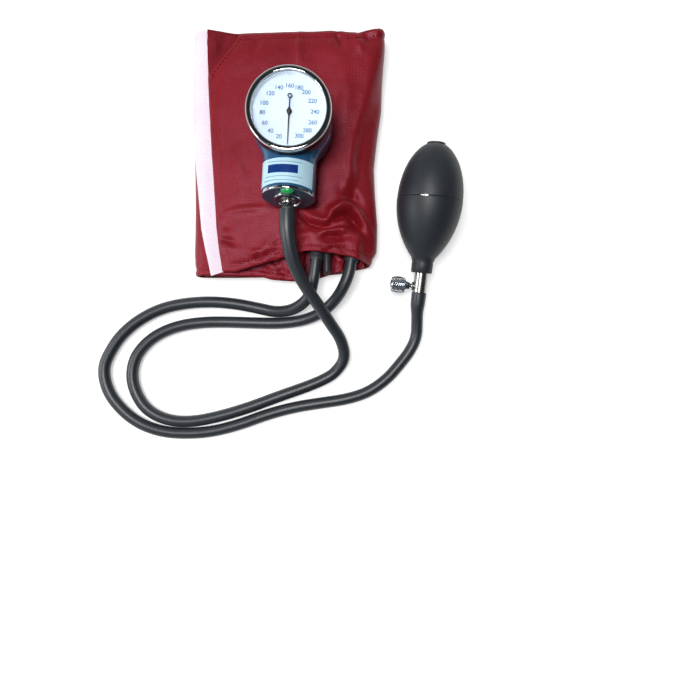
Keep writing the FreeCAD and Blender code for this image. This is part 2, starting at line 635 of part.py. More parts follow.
def make_nipple():
    cap = PARTS["neck_cap"]
    top = CAP_FACE + NUT_THICK
    nut = along_neck(NUT_RADIUS, CAP_RIM, top)
    nut = nut.cut(along_neck(NUT_RECESS_RADIUS, top - NUT_RECESS, top + 1))
    nut = nut.cut(along_neck(NIPPLE_THREAD_RADIUS, 0, top))
    keep("nipple_nut", on_gauge(nut).cut(cap))
    stem = along_neck(NIPPLE_THREAD_RADIUS, -NIPPLE_INSIDE, top - NUT_RECESS)
    stem = stem.fuse(along_neck(NIPPLE_RADIUS, top - NUT_RECESS, NIPPLE_REACH))
    end = NIPPLE_REACH + BARB_LENGTH
    stem = stem.fuse(along_neck(BARB_STEM_RADIUS, NIPPLE_REACH, end))
    for at in (end, (NIPPLE_REACH + end) / 2):
        stem = stem.fuse(along_neck(BARB_RADIUS, at - BARB_RIDGE, at))
    stem = stem.cut(along_neck(NIPPLE_BORE, -NIPPLE_INSIDE - 1, end + 1))
    keep("hose_nipple", on_gauge(stem))


def make_seal_and_label():
    slant = math.radians(NECK_SLANT)
    upward = V(0, math.sin(slant), math.cos(slant))
    room = (NECK_AXIS_W / math.cos(slant) - NUT_RADIUS - SEAL_EDGE_GAP)
    middle = NUT_RADIUS + room / 2
    centre = at_neck_end(CAP_FACE + SEAL_HEIGHT - SEAL_BALL) + upward * middle + V(SEAL_X, 0, 0)
    block = box(-SEAL_BALL, SEAL_BALL, -CAP_FACE - SEAL_HEIGHT, -CAP_RIM / 2, -room / 2, room / 2)
    block.rotate(V(0, 0, 0), V(1, 0, 0), -NECK_SLANT)
    block.translate(at_neck_end(0) + upward * middle + V(SEAL_X, 0, 0))
    drop = on_gauge(Part.makeSphere(SEAL_BALL, centre).common(block))
    for name in ("neck_cap", "nipple_nut"):
        drop = drop.cut(PARTS[name])
    keep("seal_dot", drop)
    shell = oval_bar(-LABEL_THICK, -LABEL_NEAR, -LABEL_NEAR - LABEL_HEIGHT)
    shell = shell.cut(oval_bar(0.0, -LABEL_NEAR + 1, -LABEL_NEAR - LABEL_HEIGHT - 1))
    upper = box(-CASE_RADIUS, CASE_RADIUS, -2 * NECK_LENGTH, 0, NECK_AXIS_W + LABEL_LOW,
                CASE_DEPTH + 1)
    keep("neck_label", on_gauge(shell.common(upper)))


# ------------------------------------------------------------------------ dial and its glass
def make_bezel():
    inner = BEZEL_SEAT
    lap = CASE_RADIUS + FIT_CLEAR
    top_inner_round = 0.5
    profile = [(lap, BEZEL_BASE_W), (BEZEL_RADIUS, BEZEL_BASE_W),
               (BEZEL_RADIUS, BEZEL_TOP_W - 1.4), (BEZEL_RADIUS - 0.25, BEZEL_TOP_W - 0.6),
               (BEZEL_RADIUS - 0.9, BEZEL_TOP_W), (BEZEL_RADIUS - 1.5, BEZEL_TOP_W - 0.1),
               (BEZEL_OPENING + top_inner_round, BEZEL_TOP_W - 0.45),
               (BEZEL_OPENING, BEZEL_TOP_W - 0.75),
               (BEZEL_OPENING, CRYSTAL_TOP_W), (inner, CRYSTAL_TOP_W), (inner, CASE_DEPTH),
               (lap, CASE_DEPTH)]
    keep("bezel", on_gauge(turned(profile)))
    crystal = cylinder(inner - SEAT_CLEAR, CRYSTAL_W, CRYSTAL_TOP_W)
    keep("crystal", on_gauge(crystal))
    spacer = ring(inner - SEAT_CLEAR, BEZEL_OPENING + 0.15, DIAL_W + DIAL_THICK, CRYSTAL_W)
    keep("dial_spacer", on_gauge(spacer))


def make_dial():
    plate = cylinder(BEZEL_SEAT - SEAT_CLEAR, DIAL_W, DIAL_W + DIAL_THICK)
    plate = plate.cut(cylinder(DIAL_HOLE, DIAL_W - 1, DIAL_W + 1))
    for angle in (45.0, 225.0):
        x = DIAL_FOOT_CIRCLE * math.cos(math.radians(angle))
        y = DIAL_FOOT_CIRCLE * math.sin(math.radians(angle))
        foot = cylinder(DIAL_FOOT_RADIUS, DIAL_W - DIAL_FOOT_LENGTH, DIAL_W, x, y)
        plate = plate.fuse(foot)
    keep("dial", on_gauge(plate))


def make_pointer():
    """Points to six o'clock at rest."""
    z0, z1 = POINTER_W, POINTER_W + POINTER_THICK
    blade = prism([(-POINTER_ROOT_HALF, 0), (-POINTER_TIP_HALF, -POINTER_TIP + 0.6),
                   (0, -POINTER_TIP), (POINTER_TIP_HALF, -POINTER_TIP + 0.6),
                   (POINTER_ROOT_HALF, 0), (POINTER_ROOT_HALF * 0.8, POINTER_TAIL),
                   (-POINTER_ROOT_HALF * 0.8, POINTER_TAIL)], z0, z1)
    tail = cylinder(POINTER_RING, z0, z1, 0, POINTER_TAIL)
    hub_top = z0 + POINTER_HUB_HEIGHT - POINTER_HUB_DROP
    hub = cylinder(POINTER_HUB, z0 - POINTER_HUB_DROP, hub_top)
    shape = blade.fuse(tail).fuse(hub)
    shape = shape.cut(cylinder(POINTER_RING_HOLE, z0 - 1, z1 + 1, 0, POINTER_TAIL))
    shape = shape.cut(cylinder(ARBOR_RADIUS, z0 - 1, hub_top - HUB_CAP))
    keep("pointer", on_gauge(shape))


# -------------------------------------------------------------------------------- movement
def involute(base, radius):
    """Angle gained by an involute between its base circle and a radius."""
    if radius <= base:
        return 0.0
    t = math.sqrt((radius / base) ** 2 - 1)
    return t - math.atan(t)


def tooth(teeth, root, tip):
    """One tooth's outline round the +X direction, from flank to flank."""
    pitch = GEAR_MODULE * teeth / 2
    base = pitch * math.cos(math.radians(PRESSURE_ANGLE))
    half = math.pi / (2 * teeth) - TOOTH_BACKLASH / (2 * pitch)
    start = max(base, root)
    flank = []
    steps = 4
    for i in range(steps + 1):
        r = start + (tip - start) * i / steps
        angle = half + involute(base, pitch) - involute(base, r)
        flank.append((r, angle))
    if start > root:
        flank.insert(0, (root, flank[0][1]))
    sides = [(r, a) for r, a in flank] + [(r, -a) for r, a in reversed(flank)]
    inner = root - GEAR_MODULE
    sides = [(inner, flank[0][1])] + sides + [(inner, -flank[0][1])]
    return [(r * math.cos(a), r * math.sin(a)) for r, a in sides]


def make_pinion():
    root = PINION_PITCH - 1.25 * GEAR_MODULE
    tip = PINION_PITCH + 0.9 * GEAR_MODULE
    high = PINION_W + PINION_HEIGHT
    outline = prism(tooth(PINION_TEETH, root, tip), PINION_W, high)
    wheel = cylinder(root, PINION_W, high)
    toward_sector = SECTOR_ANGLE
    for i in range(PINION_TEETH):
        wheel = wheel.fuse(moved(outline, toward_sector + 360.0 * i / PINION_TEETH))
    shoulder_w = REAR_PLATE_W + PLATE_THICK + END_SHAKE
    arbor_top = POINTER_W + POINTER_HUB_HEIGHT - POINTER_HUB_DROP - HUB_CAP
    arbor = cylinder(ARBOR_RADIUS, shoulder_w, arbor_top)
    pivot = cylinder(PIVOT_RADIUS, REAR_PLATE_W + PIVOT_INSET, shoulder_w)
    keep("pinion_arbor", on_gauge(wheel.fuse(arbor).fuse(pivot)))
    low = HAIRSPRING_W - 0.2
    collet = ring(COLLET_RADIUS, ARBOR_RADIUS, low, low + HAIRSPRING_HEIGHT + 0.4)
    keep("hairspring_collet", on_gauge(collet))


def make_sector():
    """Cut from a wheel; at rest it stands half its swing before the middle."""
    root = SECTOR_PITCH - 1.25 * GEAR_MODULE
    tip = SECTOR_PITCH + 0.75 * GEAR_MODULE
    low, high = SECTOR_W, SECTOR_W + SECTOR_THICK
    facing = 180.0 + SECTOR_ANGLE
    tooth_angle = 360.0 / SECTOR_TEETH_FULL
    span = SECTOR_TEETH * tooth_angle
    half_span = math.radians(span / 2)
    arc = [((root + 0.02) * math.cos(a), (root + 0.02) * math.sin(a))
           for a in (half_span * (2 * i / 10 - 1) for i in range(11))]
    plate = prism([(0, -SECTOR_ARM_HALF * 0.2), *arc, (0, SECTOR_ARM_HALF * 0.2)], low, high)
    window_in, window_out = SECTOR_HUB + 1.6, root - 1.6
    inner_span = half_span * 0.62
    window = [(window_in * math.cos(a), window_in * math.sin(a))
              for a in (-inner_span * 0.6, inner_span * 0.6)]
    window += [(window_out * math.cos(a), window_out * math.sin(a))
               for a in (inner_span, 0.0, -inner_span)]
    plate = plate.cut(prism(window, low - 1, high + 1))
    outline = prism(tooth(SECTOR_TEETH_FULL, root, tip), low, high)
    # A tooth space faces a pinion tooth at rest, so teeth stand half a step to each side.
    for i in range(SECTOR_TEETH + 1):
        plate = plate.fuse(moved(outline, (i - SECTOR_TEETH / 2) * tooth_angle))
    shift = sector_rest_shift()
    plate = moved(plate, facing + shift)
    hub = cylinder(SECTOR_HUB, low, high)
    tail_angle = -SECTOR_SWING / 2
    tail = box(0, TAIL_ARM + TAIL_BEYOND, -TAIL_HALF, TAIL_HALF, low, high)
    shape = plate.fuse(hub).fuse(moved(tail, tail_angle))
    shape = shape.fuse(cylinder(SECTOR_ARBOR_RADIUS, REAR_PLATE_W + PLATE_THICK + END_SHAKE,
                                FRONT_PLATE_W - END_SHAKE))
    shape = shape.fuse(cylinder(PIVOT_RADIUS, REAR_PLATE_W + PIVOT_INSET,
                                FRONT_PLATE_W + PLATE_THICK - PIVOT_INSET))
    keep("sector_gear", on_gauge(moved(shape, 0, SECTOR_X, SECTOR_Y)))


def sector_rest_shift():
    """The sector's turn at rest: half its swing, to the nearest whole tooth step."""
    tooth_angle = 360.0 / SECTOR_TEETH_FULL
    steps = round(SECTOR_SWING / 2 / tooth_angle)
    half_step = 0.0 if SECTOR_TEETH % 2 else 0.5
    return -(steps + half_step) * tooth_angle


def pillar_places():
    return [(PILLAR_CIRCLE * math.cos(math.radians(a)), PILLAR_CIRCLE * math.sin(math.radians(a)))
            for a in PILLAR_ANGLES]


def bearing(radius, x, y):
    return cylinder(radius + FIT_CLEAR, REAR_PLATE_W - 1, FRONT_PLATE_W + PLATE_THICK + 1, x, y)


def screw_holes():
    return [cylinder(SCREW_RADIUS, REAR_PLATE_W - 1, FRONT_PLATE_W + PLATE_THICK + 1, x, y)
            for x, y in pillar_places()]


def make_plates():
    rear = cylinder(PLATE_RADIUS, REAR_PLATE_W, REAR_PLATE_W + PLATE_THICK)
    reach = math.radians(ROCKER_SWING / 2)
    x = SECTOR_X + TAIL_ARM
    travel = (REAR_PLATE_W + PLATE_THICK - ROCKER_W) * math.tan(reach) + ROCKER_FINGER_HALF * 2
    rear = rear.cut(box(x - 0.9, x + 0.9, ROCKER_Y - travel, ROCKER_Y + travel,
                        REAR_PLATE_W - 1, REAR_PLATE_W + PLATE_THICK + 1))
    for lug_x in (LUG_LEFT, LUG_RIGHT):
        lug = box(lug_x, lug_x + LUG_THICK, ROCKER_Y - LUG_HALF, ROCKER_Y + LUG_HALF,
                  ROCKER_W - LUG_HALF * 0.8, REAR_PLATE_W)
        rear = rear.fuse(lug)
    shaft = rod(ROCKER_RADIUS + FIT_CLEAR, V(LUG_LEFT - 1, ROCKER_Y, ROCKER_W),
                V(LUG_RIGHT + LUG_THICK + 1, ROCKER_Y, ROCKER_W))
    rear = rear.cut(shaft)
    front = cylinder(PLATE_RADIUS, FRONT_PLATE_W, FRONT_PLATE_W + PLATE_THICK)
    flat = box(-PLATE_RADIUS, PLATE_RADIUS, -PLATE_RADIUS, -PLATE_RADIUS * 0.72,
               FRONT_PLATE_W - 1, FRONT_PLATE_W + 3)
    front = front.cut(flat)
    shared = [bearing(PIVOT_RADIUS, SECTOR_X, SECTOR_Y)] + screw_holes()
    for hole in [bearing(PIVOT_RADIUS, 0, 0)] + shared:
        rear = rear.cut(hole)
    for hole in [bearing(ARBOR_RADIUS, 0, 0)] + shared:
        front = front.cut(hole)
    stud_at = hairspring_outer() + STUD_GAP + STUD_RADIUS
    stud = cylinder(STUD_RADIUS, HAIRSPRING_W - 0.2, FRONT_PLATE_W, -stud_at, 0)
    keep("movement_rear_plate", on_gauge(rear))
    keep("movement_front_plate", on_gauge(front))
    keep("hairspring_stud", on_gauge(stud))
    lower, upper, screws = [], [], []
    for x, y in pillar_places():
        post = cylinder(PILLAR_RADIUS, CASE_FLOOR, REAR_PLATE_W, x, y)
        lower.append(post.cut(cylinder(SCREW_RADIUS, REAR_PLATE_W - 3, REAR_PLATE_W + 1, x, y)))
        post = cylinder(PILLAR_RADIUS, REAR_PLATE_W + PLATE_THICK, FRONT_PLATE_W, x, y)
        upper.append(post.cut(cylinder(SCREW_RADIUS, REAR_PLATE_W, FRONT_PLATE_W + 1, x, y)))
        top = FRONT_PLATE_W + PLATE_THICK
        screw = cylinder(SCREW_RADIUS, REAR_PLATE_W - 3, top, x, y)
        screw = screw.fuse(cylinder(SCREW_HEAD_RADIUS, top, top + SCREW_HEAD, x, y))
        slot = box(x - SCREW_HEAD_RADIUS, x + SCREW_HEAD_RADIUS, y - 0.2, y + 0.2,
                   top + SCREW_HEAD / 2, top + SCREW_HEAD + 1)
        screws.append(screw.cut(slot))
    keep("movement_posts", on_gauge(Part.makeCompound(lower)))
    keep("plate_pillars", on_gauge(Part.makeCompound(upper)))
    keep("pillar_screws", on_gauge(Part.makeCompound(screws)))


def hairspring_outer():
    return COLLET_RADIUS + HAIRSPRING_PITCH * (HAIRSPRING_TURNS + 0.5) + HAIRSPRING_THICK


def make_hairspring():
    """A flat spiral of half circles about two centres."""
    low = HAIRSPRING_W
    edges_in, edges_out = [], []
    quarter = HAIRSPRING_PITCH / 4
    half_thick = HAIRSPRING_THICK / 2
    for i in range(2 * HAIRSPRING_TURNS):
        centre = quarter if i % 2 else -quarter
        side = 1 if i % 2 == 0 else -1
        radius = COLLET_RADIUS + HAIRSPRING_THICK / 2 + quarter + HAIRSPRING_PITCH / 2 * i
        for edges, r in ((edges_in, radius - half_thick), (edges_out, radius + half_thick)):
            a = V(centre + side * r, 0, low)
            m = V(centre, side * r, low)
            b = V(centre - side * r, 0, low)
            edges.append(Part.Arc(a, m, b).toShape())
    caps = [Part.LineSegment(edges_in[0].Vertexes[0].Point,
                             edges_out[0].Vertexes[0].Point).toShape(),
            Part.LineSegment(edges_in[-1].Vertexes[-1].Point,
                             edges_out[-1].Vertexes[-1].Point).toShape()]
    wire = Part.Wire(Part.__sortEdges__(edges_in + edges_out + caps))
    keep("hairspring", on_gauge(Part.Face(wire).extrude(V(0, 0, HAIRSPRING_HEIGHT))))


def make_rocker():
    """Stands half its swing before the middle at rest."""
    x = SECTOR_X + TAIL_ARM
    shaft = rod(ROCKER_RADIUS, V(LUG_LEFT - 0.6, ROCKER_Y, ROCKER_W), V(x + 0.8, ROCKER_Y, ROCKER_W))
    half = ROCKER_FINGER_HALF
    lift = box(-1.0, 1.0, -0.9, ROCKER_Y, ROCKER_W - half, ROCKER_W + half)
    push = box(x - half, x + half, ROCKER_Y - half, ROCKER_Y + half, ROCKER_W,
               SECTOR_W + SECTOR_THICK + 0.8)
    shape = shaft.fuse(lift).fuse(push)
    shape.rotate(V(0, ROCKER_Y, ROCKER_W), V(1, 0, 0), ROCKER_SWING / 2)
    keep("rocking_shaft", on_gauge(shape))


def make_capsule():
    """Two corrugated discs joined at the rim, with an air space between."""
    low = CAPSULE_BASE_W
    middle = low + CAPSULE_HEIGHT / 2
    inner = CAPSULE_BASE_RADIUS * 0.5
    points = 2 * CAPSULE_WAVES
    flat = CAPSULE_RADIUS - 1.2

    def wave(i, lift):
        r = inner + (flat - inner) * i / points
        return r, lift + (CAPSULE_WAVE if i % 2 else 0.0)

    lower_out = [wave(i, low) for i in range(points + 1)]
    upper_out = [(r, 2 * middle - z) for r, z in reversed(lower_out)]
    outside = [(0, low)] + lower_out + [(CAPSULE_RADIUS, middle - 0.25),
                                        (CAPSULE_RADIUS, middle + 0.25)]
    outside += upper_out + [(0, 2 * middle - low)]
    shell = turned(outside)
    lower_in = [(r, z + CAPSULE_WALL) for r, z in lower_out]
    upper_in = [(r, 2 * middle - z) for r, z in reversed(lower_in)]
    space = turned([(0, low + CAPSULE_WALL)] + lower_in + upper_in
                   + [(0, 2 * middle - low - CAPSULE_WALL)])
    shell = shell.cut(space).cut(cylinder(AIR_PIPE_BORE, low - 1, low + 1))
    keep("pressure_capsule", on_gauge(shell))
    top = low + CAPSULE_HEIGHT
    pin = cylinder(PIN_RADIUS * 2.2, top, top + 0.5).fuse(cylinder(PIN_RADIUS, top, PIN_TOP_W))
    keep("capsule_pin", on_gauge(pin))
    base = cylinder(CAPSULE_BASE_RADIUS, CASE_FLOOR, low)
    base = base.cut(cylinder(AIR_PIPE_BORE, AIR_PIPE_W, low + 1))
    base = base.cut(rod(AIR_PIPE_BORE, V(0, -CAPSULE_BASE_RADIUS - 1, AIR_PIPE_W),
                        V(0, 0, AIR_PIPE_W)))
    keep("capsule_base", on_gauge(base))


def make_air_pipe():
    """From the nipple's inner end, down behind the capsule's rim and in to its base."""
    start = at_neck_end(-NIPPLE_INSIDE)
    inward = neck_normal() * -1
    drop = start + inward * ((AIR_PIPE_DROP_Y - start.y) / inward.y)
    route = [start, drop, V(0, AIR_PIPE_DROP_Y, AIR_PIPE_W),
             V(0, -CAPSULE_BASE_RADIUS, AIR_PIPE_W)]
    wire, _ = bent_wire(route, AIR_PIPE_BEND)
    pipe = swept(wire, AIR_PIPE_RADIUS).cut(swept(wire, AIR_PIPE_BORE))
    keep("air_pipe", on_gauge(pipe))


# ------------------------------------------------------------------------------- back clip
def clip_screw_places():
    y = CLIP_LENGTH / 2 - CLIP_SCREW_INSET
    return [(-CLIP_SCREW_SIDE, y), (CLIP_SCREW_SIDE, y)]


def make_clip():
    half = CLIP_WIDTH / 2
    top, bottom = CLIP_LENGTH / 2, -CLIP_LENGTH / 2
    base = box(-half, half, bottom, top, -CLIP_THICK, 0)
    low = -2 * CLIP_THICK - CLIP_GAP
    tongue = box(-half, half, bottom - CLIP_TONGUE_REACH, top, low, low + CLIP_THICK)
    outer = CLIP_THICK + CLIP_GAP / 2
    bend = Part.makeCylinder(outer, CLIP_WIDTH, V(-half, top, -outer), V(1, 0, 0))
    bend = bend.cut(Part.makeCylinder(CLIP_GAP / 2, CLIP_WIDTH, V(-half, top, -outer), V(1, 0, 0)))
    bend = bend.common(box(-half, half, top, top + 2 * outer, -2 * outer, 0))
    clip = base.fuse(tongue).fuse(bend)
    screws = []
    for x, y in clip_screw_places():
        clip = clip.cut(cylinder(SCREW_RADIUS, -CLIP_THICK - 1, 1, x, y))
        clip = clip.cut(cylinder(SCREW_HEAD_RADIUS + 0.4, low - 1, low + CLIP_THICK + 0.1, x, y))
        shank = cylinder(SCREW_RADIUS, -CLIP_THICK, CASE_FLOOR, x, y)
        screws.append(shank.fuse(cylinder(SCREW_HEAD_RADIUS, -CLIP_THICK - 0.7, -CLIP_THICK, x, y)))
    keep("back_clip", on_gauge(clip))
    keep("clip_screws", on_gauge(Part.makeCompound(screws)))


# -------------------------------------------------------------------------- bulb and valve
def bulb_placement():
    """Local Z runs from the valve to the bulb's nose, local X towards the release knob."""
    lean, tilt = math.radians(BULB_LEAN), math.radians(BULB_TILT)
    axis = V(math.sin(lean) * math.cos(tilt), math.cos(lean) * math.cos(tilt), math.sin(tilt))
    side = V(-math.cos(lean), math.sin(lean), 0)
    third = axis.cross(side)
    arc = lower_arc_radius()
    height = ((BULB_RADIUS - arc) * math.cos(tilt) + arc - BULB_WIDEST * math.sin(tilt))
    matrix = FreeCAD.Matrix(side.x, third.x, axis.x, BULB_MOUTH_X,
                            side.y, third.y, axis.y, BULB_MOUTH_Y,
                            side.z, third.z, axis.z, height,
                            0, 0, 0, 1)
    return matrix


def on_bulb(shape):
    return shape.transformed(bulb_placement(), copy=True)


def lower_arc_radius():
    """Radius of the egg's lower arc, which is level at the widest ring."""
    run = BULB_WIDEST - COLLAR_ARC_START
    rise = BULB_RADIUS - COLLAR_ARC_RADIUS
    return (run ** 2 + rise ** 2) / (2 * rise)


def egg_radius(t):
    """The bulb's outer radius at a distance from the collar's mouth."""
    if t < BULB_WIDEST:
        arc = lower_arc_radius()
        return BULB_RADIUS - arc + math.sqrt(arc ** 2 - (BULB_WIDEST - t) ** 2)
    return BULB_RADIUS * math.sqrt(max(0.0, 1 - ((t - BULB_WIDEST) / BULB_NOSE_AXIS) ** 2))


def egg_profile(inset):
    """Smooth edges of the egg, inset from its outside, from the collar to the nose."""
    count = 8
    nose = BULB_WIDEST + BULB_NOSE_AXIS * math.sqrt(1 - (BULB_NOSE_RADIUS / BULB_RADIUS) ** 2)
    lower = [COLLAR_ARC_START + (BULB_WIDEST - COLLAR_ARC_START) * i / count
             for i in range(count + 1)]
    upper = [BULB_WIDEST + (nose - BULB_WIDEST) * math.sin(math.pi / 2 * i / count)
             for i in range(1, count + 1)]
    points = [V(egg_radius(t) - inset, 0, t) for t in lower + upper]
    curve = Part.BSplineCurve()
    curve.interpolate(points)
    return points, curve.toShape()


def make_bulb():
    points, curve = egg_profile(0.0)
    corners = [V(0, 0, 0), V(COLLAR_RADIUS, 0, 0), V(COLLAR_RADIUS, 0, COLLAR_LENGTH), points[0]]
    lines = [Part.LineSegment(a, b).toShape() for a, b in zip(corners, corners[1:])]
    nose = [points[-1], V(BULB_NOSE_RADIUS, 0, BULB_LENGTH), V(0, 0, BULB_LENGTH)]
    lines_up = [Part.LineSegment(a, b).toShape() for a, b in zip(nose, nose[1:])
                if (b - a).Length > 1e-6]
    close = Part.LineSegment(nose[-1], corners[0]).toShape()
    wire = Part.Wire(lines + [curve] + lines_up + [close])
    solid = Part.Face(wire).revolve(V(0, 0, 0), V(0, 0, 1), 360)
    inner_points, inner_curve = egg_profile(BULB_WALL)
    low = inner_points[0]
    high = inner_points[-1]
    edges = [Part.LineSegment(V(0, 0, low.z), low).toShape(), inner_curve,
             Part.LineSegment(high, V(0, 0, high.z)).toShape(),
             Part.LineSegment(V(0, 0, high.z), V(0, 0, low.z)).toShape()]
    hollow = Part.Face(Part.Wire(edges)).revolve(V(0, 0, 0), V(0, 0, 1), 360)
    bulb = solid.cut(hollow)
    bulb = bulb.cut(cylinder(VALVE_RADIUS, -1, COLLAR_ARC_START + 3))
    bulb = bulb.cut(cylinder(INLET_RADIUS, BULB_LENGTH - INLET_LENGTH - BULB_WALL, BULB_LENGTH + 1))
    keep("bulb", on_bulb(bulb))


def check_ball(floor):
    """A ball lying on the floor of its chamber."""
    return Part.makeSphere(CHECK_BALL_RADIUS, V(0, 0, floor + FIT_CLEAR + CHECK_BALL_RADIUS))


def seat_start(floor):
    """Where the chamber's conical seat starts, so that the lifted ball meets it."""
    lifted = floor + FIT_CLEAR + CHECK_BALL_RADIUS + CHECK_BALL_TRAVEL
    return lifted + math.sqrt(2) * (CHECK_BALL_RADIUS + FIT_CLEAR) - CHECK_CHAMBER_RADIUS


def check_chamber(floor, bore):
    """Room for the ball, closed at the top by a seat that narrows to the bore."""
    top = seat_start(floor)
    depth = CHECK_CHAMBER_RADIUS - bore
    room = cylinder(CHECK_CHAMBER_RADIUS, floor, top)
    return room.fuse(Part.makeCone(CHECK_CHAMBER_RADIUS, bore, depth, V(0, 0, top)))


def make_inlet_valve():
    """A body pressed in the nose: air comes in past a ball held in a short chamber."""
    low = BULB_LENGTH - INLET_LENGTH
    body = cylinder(INLET_RADIUS, low, BULB_LENGTH).fuse(
        cylinder(INLET_FLANGE_RADIUS, BULB_LENGTH, BULB_LENGTH + INLET_FLANGE))
    floor = low + FILTER_THICK + FILTER_SHELF
    body = body.cut(check_chamber(floor, INLET_BORE))
    body = body.cut(cylinder(INLET_BORE, low - 1, BULB_LENGTH + INLET_FLANGE + 1))
    body = body.cut(cylinder(FILTER_RADIUS, low - 1, low + FILTER_THICK))
    keep("inlet_valve_body", on_bulb(body))
    keep("inlet_ball", on_bulb(check_ball(floor)))
    keep("inlet_filter", on_bulb(ring(FILTER_RADIUS, FILTER_HOLE, low, low + FILTER_THICK)))


def make_valve():
    """Body between bulb and hose, with an outlet ball, a bleed hole and the release screw."""
    body = cylinder(VALVE_RADIUS, -VALVE_SHOWS, VALVE_PLUG)
    boss = rod(VALVE_BOSS_RADIUS, V(0, 0, -VALVE_BOSS_AT), V(VALVE_BOSS_REACH, 0, -VALVE_BOSS_AT))
    body = body.fuse(boss)
    body = body.cut(cylinder(VALVE_BORE, -VALVE_SHOWS - 1, VALVE_PLUG + 1))
    body = body.cut(cylinder(TAIL_THREAD_RADIUS, -VALVE_SHOWS - 1, -VALVE_SHOWS + TAIL_THREAD))
    body = body.cut(check_chamber(OUTLET_FLOOR, VALVE_BORE))
    body = body.cut(rod(SCREW_HOLE_RADIUS, V(VALVE_BORE + 0.8, 0, -VALVE_BOSS_AT),
                        V(VALVE_BOSS_REACH + 1, 0, -VALVE_BOSS_AT)))
    body = body.cut(rod(BLEED_RADIUS, V(0, 0, -VALVE_BOSS_AT), V(VALVE_BOSS_REACH, 0, -VALVE_BOSS_AT)))
    keep("valve_body", on_bulb(body))
    keep("outlet_ball", on_bulb(check_ball(OUTLET_FLOOR)))
    end = -VALVE_SHOWS - BARB_LENGTH
    tail = cylinder(TAIL_THREAD_RADIUS, -VALVE_SHOWS, -VALVE_SHOWS + TAIL_THREAD)
    tail = tail.fuse(cylinder(BARB_STEM_RADIUS, end, -VALVE_SHOWS))
    for at in (end, end + BARB_LENGTH / 2):
        tail = tail.fuse(cylinder(BARB_RADIUS, at, at + BARB_RIDGE))
    keep("valve_hose_tail", on_bulb(tail.cut(cylinder(VALVE_BORE, end - 1, 0))))


def across(radius, near, far):
    """A round bar on the release screw's axis."""
    return rod(radius, V(near, 0, -VALVE_BOSS_AT), V(far, 0, -VALVE_BOSS_AT))


def make_release_screw():
    seat_x = VALVE_BORE + 0.8 + 0.1
    tip = Part.makeCone(0.3, RELEASE_STEM_RADIUS, 1.4, V(seat_x, 0, -VALVE_BOSS_AT), V(1, 0, 0))
    knob_in = KNOB_START
    screw = tip.fuse(across(RELEASE_STEM_RADIUS, seat_x + 1.4, knob_in))
    groove = across(RELEASE_STEM_RADIUS + 1, VALVE_BOSS_REACH + 1.3, VALVE_BOSS_REACH + 2.3)
    screw = screw.cut(groove.cut(across(RELEASE_NECK_RADIUS, 0, knob_in)))
    taper = Part.makeCone(RELEASE_STEM_RADIUS + 0.6, KNOB_RADIUS - 0.5, KNOB_TAPER,
                          V(knob_in, 0, -VALVE_BOSS_AT), V(1, 0, 0))
    knob = across(KNOB_RADIUS, knob_in + KNOB_TAPER, knob_in + KNOB_LENGTH)
    knob = knob.makeFillet(0.6, [e for e in knob.Edges if e.Closed])
    screw = screw.fuse(taper).fuse(knob)
    for i in range(KNOB_FLUTES):
        angle = math.radians(360.0 * i / KNOB_FLUTES)
        y, z = KNOB_RADIUS * math.cos(angle), KNOB_RADIUS * math.sin(angle) - VALVE_BOSS_AT
        flute = rod(KNOB_FLUTE_RADIUS, V(knob_in - 1, y, z), V(knob_in + KNOB_LENGTH + 1, y, z))
        screw = screw.cut(flute)
    keep("release_screw", on_bulb(screw))
    centre = VALVE_BOSS_REACH + 1.8
    seal = Part.makeTorus(RELEASE_NECK_RADIUS + O_RING_RADIUS, O_RING_RADIUS - FIT_CLEAR,
                          V(centre, 0, -VALVE_BOSS_AT), V(1, 0, 0))
    keep("release_o_ring", on_bulb(seal))


# ----------------------------------------------------------------------------------- hoses
def bent_wire(points, radius=None):
    """Straight runs joined by tangent arcs. Without a radius each arc is as large as its
    two runs allow."""
    edges, radii = [], []
    here = points[0]
    for before, corner, after in zip(points, points[1:], points[2:]):
        inward, outward = (corner - before), (after - corner)
        turn = inward.getAngle(outward)
        shorter = min(inward.Length, outward.Length)
        bend = radius or 0.45 * shorter / math.tan(turn / 2)
        cut = bend * math.tan(turn / 2)
        radii.append(bend)
        inward.normalize()
        outward.normalize()
        start, end = corner - inward * cut, corner + outward * cut
        to_centre = (outward - inward).normalize()
        centre = corner + to_centre * (bend / math.cos(turn / 2))
        middle = centre - to_centre * bend
        edges.append(Part.LineSegment(here, start).toShape())
        edges.append(Part.Arc(start, middle, end).toShape())
        here = end
    edges.append(Part.LineSegment(here, points[-1]).toShape())
    return Part.Wire(edges), radii


def swept(wire, radius):
    """A round bar along a wire."""
    first = wire.Edges[0]
    start = first.valueAt(first.FirstParameter)
    along = first.tangentAt(first.FirstParameter)
    section = Part.Wire(Part.Circle(start, along, radius).toShape())
    return wire.makePipeShell([section], True, False)


def make_hose(name, route):
    wire, radii = bent_wire([V(*p) for p in route])
    tube = swept(wire, HOSE_OD / 2)
    expected = math.pi * HOSE_OD ** 2 / 4 * wire.Length
    print(name, "length", round(wire.Length, 1), "volume ratio", round(tube.Volume / expected, 4))
    print(name, "radii", [round(r, 1) for r in radii])
    keep(name, tube)


